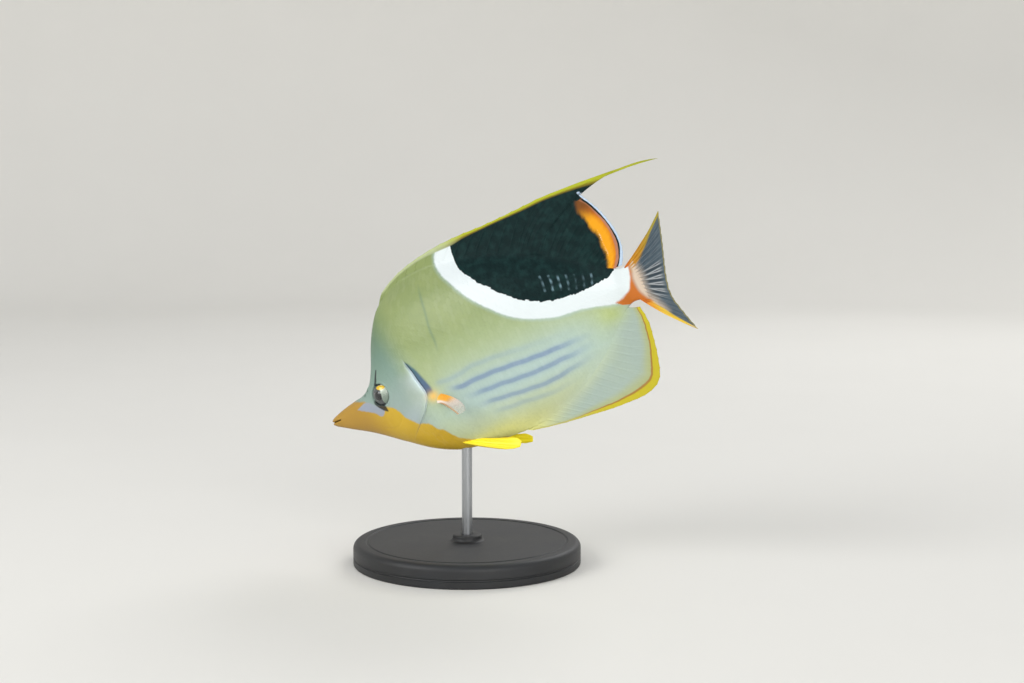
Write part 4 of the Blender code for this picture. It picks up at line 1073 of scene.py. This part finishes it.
def analFinish():
    f = finFinish("anal_fin")
    groundTouch(f)
    scaleTouch(f, 0.6)
    saddleTouch(f)
    margin = f.field("margin") + (f.noise(220, 2) - 0.5) * 0.25
    front = f.field("front")
    f.paint("marginSoft", f.fade(margin, 3.4, 1.1) * 0.75 * (0.5 + 0.5 * front))
    f.paint("margin", f.fade(margin, 1.12, 0.92) * (0.55 + 0.45 * front))
    line = f.node("ShaderNodeMath", {"operation": "ABSOLUTE"}, {0: margin - 1.1})
    f.paint("brown", f.fade(line, 0.24, 0.08) * (0.35 + 0.5 * front))
    return f.feed(Roughness=0.46 + f.noise(500, 2) * 0.14, Normal=finBump(f, 0.0))


def caudalFinish():
    f = finFinish("caudal_fin")
    ray, share, streaks = f.field("ray"), f.field("share"), f.field("streaks")
    f.colour = f.mix(streaks * 0.9, "tailWeb", "tailDark")
    f.paint("tailDark", f.fade(f.noise(200, 2), 0.35, 0.7) * 0.25)
    f.paint("tailStreak", ray * (0.12 + 0.75 * streaks))
    pale = f.fade(f.field("pale") + (f.noise(300, 2) - 0.5) * 0.8, -2.4, 4.2)
    f.paint("pink", pale)
    upper = f.fade(f.field("upper"), 1.2, 0.75)
    f.paint(f.mix(f.fade(share, 0.2, 0.8), "tailUp", "tailUpTip"), upper)
    lower = f.fade(f.field("lower"), 1.2, 0.75)
    low = f.mix(f.fade(share, 0.1, 0.5), "tailLow", "tailLowTip")
    f.paint(f.mix(f.fade(share, 0.82, 1.0) * 0.6, low, "pink"), lower)
    f.paint("tailUpTip", f.fade(f.field("margin"), 0.7, 0.35) * 0.5)
    ember = f.fade(f.field("emberEnd"), -1.5, 1.0)
    f.paint("ember", ember)
    solid = upper | lower | pale | ember | (ray * 0.8)
    return f.feed(Roughness=0.44 + f.noise(500, 2) * 0.14, Normal=finBump(f), Alpha=0.93 + 0.07 * solid)


def pectoralFinish():
    f = finFinish("pectoral_fin", 0.1, 0.25, 0.2)
    ray, reach, fan = f.field("ray"), f.field("reach"), f.field("fan")
    f.colour = f.mix(0.3 + ray * 0.5, "fanPink", "fanWhite")
    pad = f.fade(reach, 17.0, 10.0) * f.fade(fan, 0.18, 0.4)
    f.paint("fanBase", pad)
    lead = f.fade(fan, 0.09, 0.03) * f.fade(reach, 4.0, 8.0) * 0.8
    f.paint("fanRay", lead)
    veil = f.fade(reach, 26.0, 6.0)
    alpha = (0.16 + 0.74 * veil + ray * 0.1) | (lead * 0.8) | (pad * 0.95)
    return f.feed(Roughness=0.40 + f.noise(500, 2) * 0.14, Normal=finBump(f, 0.0, 0.08), Alpha=alpha)


def pelvicFinish():
    f = finFinish("pelvic_fin", 0.12, 0.25, 0.5)
    f.colour = f.mix(f.field("ray") * 0.4 + f.noise(300, 2) * 0.25, "pelvic", "pelvicDeep")
    return f.feed(Roughness=0.40 + f.noise(500, 2) * 0.14, Normal=finBump(f))


def eyeFinish():
    f = Finish("eye", {"Coat Weight": 1.0, "Coat Roughness": 0.03, "Specular IOR Level": 0.3})
    ahead, up = f.field("ahead"), f.field("up")
    fleck = f.noise(1500, 3)
    f.colour = f.mix(f.fade(up + (fleck - 0.5) * 2.5, -2.0, 2.6), "iris", "irisLight")
    f.paint("irisDark", f.fade(ahead + up * 0.15 + (fleck - 0.5) * 0.5, -1.75, -1.2) * 0.96)
    f.paint("pupil", f.fade(f.field("pupil"), -0.1, 0.1))
    across = (ahead + 2.0) * 0.93 + (up - 3.1) * 0.36      # the yellow fleck lies askew over the pupil
    tall = (up - 3.1) * 0.93 - (ahead + 2.0) * 0.36
    f.paint("irisYellow", f.fade(across * across * 0.2 + tall * tall * 0.95, 1.2, 0.75))
    f.paint(f.mix(f.fade(ahead + up, 1.0, -2.0), "bar", "irisEdge"), f.fade(f.field("outer"), 0.34, 0.16))
    return f.feed(Roughness=0.18 + fleck * 0.2, Normal=f.bump(fleck, 0.00003, 0.3))


def baseFinish():
    f = Finish("stand_base", {"Coat Weight": 0.08, "Coat Roughness": 0.35})
    grain, wide = f.noise(1500, 3), f.noise(40, 3)
    f.colour = f.mix(f.fade(wide, 0.35, 0.75), "baseDark", "baseLight")
    return f.feed(Roughness=0.42 + wide * 0.16 + grain * 0.1, Normal=f.bump(grain, 0.00008, 0.5))


def rodFinish():
    f = Finish("stand_rod", {"Metallic": 1.0})
    brush = f.noise(900, 4, 0.6, (1.0, 1.0, 0.02))
    f.colour = f.mix(brush, "steelDark", "steel")
    return f.feed(Roughness=0.24 + brush * 0.2, Normal=f.bump(brush, 0.00003, 0.5))


finishes = [([fishSkin], skinFinish()), (fins["dorsal"], dorsalFinish()), (fins["anal"], analFinish()),
            (fins["caudal"], caudalFinish()), (fins["pectoral"], pectoralFinish()),
            (fins["pelvic"], pelvicFinish()), (eyes, eyeFinish()), ([standBase], baseFinish()),
            ([standRod], rodFinish())]
for pieces, finish in finishes:
    for piece in pieces:
        piece.data.materials.clear()
        piece.data.materials.append(finish)
print("finishes set")

# studio: a pale floor that curves up all round, and soft lights
studio = {"floor": 1.5, "bend": 0.5, "wall": 1.4, "turns": 96, "sky": 0.55,
          "lights": [((-0.8, -1.2, 0.85), 1.0, 13.0), ((1.0, -1.1, 0.5), 1.1, 9.0),
                     ((0.3, 1.3, 1.1), 0.9, 7.0)]}      # place, size, power


def makeStudio():
    profile = [(0.002, 0.0), (studio["floor"], 0.0)]
    profile += [(studio["floor"] + studio["bend"] * math.sin(k), studio["bend"] * (1 - math.cos(k)))
                for k in np.linspace(0.1, math.pi / 2, 12)]
    profile += [(studio["floor"] + studio["bend"], studio["wall"])]
    a = np.linspace(0, 2 * math.pi, studio["turns"], endpoint=False)
    points = [(r * math.cos(k), r * math.sin(k), z) for r, z in profile for k in a]
    n = studio["turns"]
    faces = [(i * n + j, i * n + (j + 1) % n, (i + 1) * n + (j + 1) % n, (i + 1) * n + j)
             for i in range(len(profile) - 1) for j in range(n)]
    faces.append(tuple(range(n)))
    mesh = bpy.data.meshes.new("floor")
    mesh.from_pydata(points, [], faces)
    mesh.shade_smooth()
    floor = bpy.data.objects.new("floor", mesh)
    bpy.context.scene.collection.objects.link(floor)
    f = Finish("floor", {"Roughness": 0.85})
    f.colour = f.mix(f.noise(6, 2) * 0.3, "floor", "floorShade")
    mesh.materials.append(f.feed())
    for k, (place, size, power) in enumerate(studio["lights"]):
        lamp = bpy.data.lights.new(f"soft_light_{k}", "AREA")
        lamp.shape, lamp.size, lamp.energy = "DISK", size, power
        light = bpy.data.objects.new(f"soft_light_{k}", lamp)
        light.location = place
        light.rotation_euler = (Vector(view["target"]) - Vector(place)).to_track_quat("-Z", "Y").to_euler()
        bpy.context.scene.collection.objects.link(light)
    world = bpy.data.worlds.new("studio")
    world.use_nodes = True
    world.node_tree.nodes["Background"].inputs["Color"].default_value = (0.93, 0.96, 1.0, 1.0)
    world.node_tree.nodes["Background"].inputs["Strength"].default_value = studio["sky"]
    bpy.context.scene.world = world
    bpy.context.scene.view_settings.view_transform = "Standard"


makeStudio()
print("studio set")
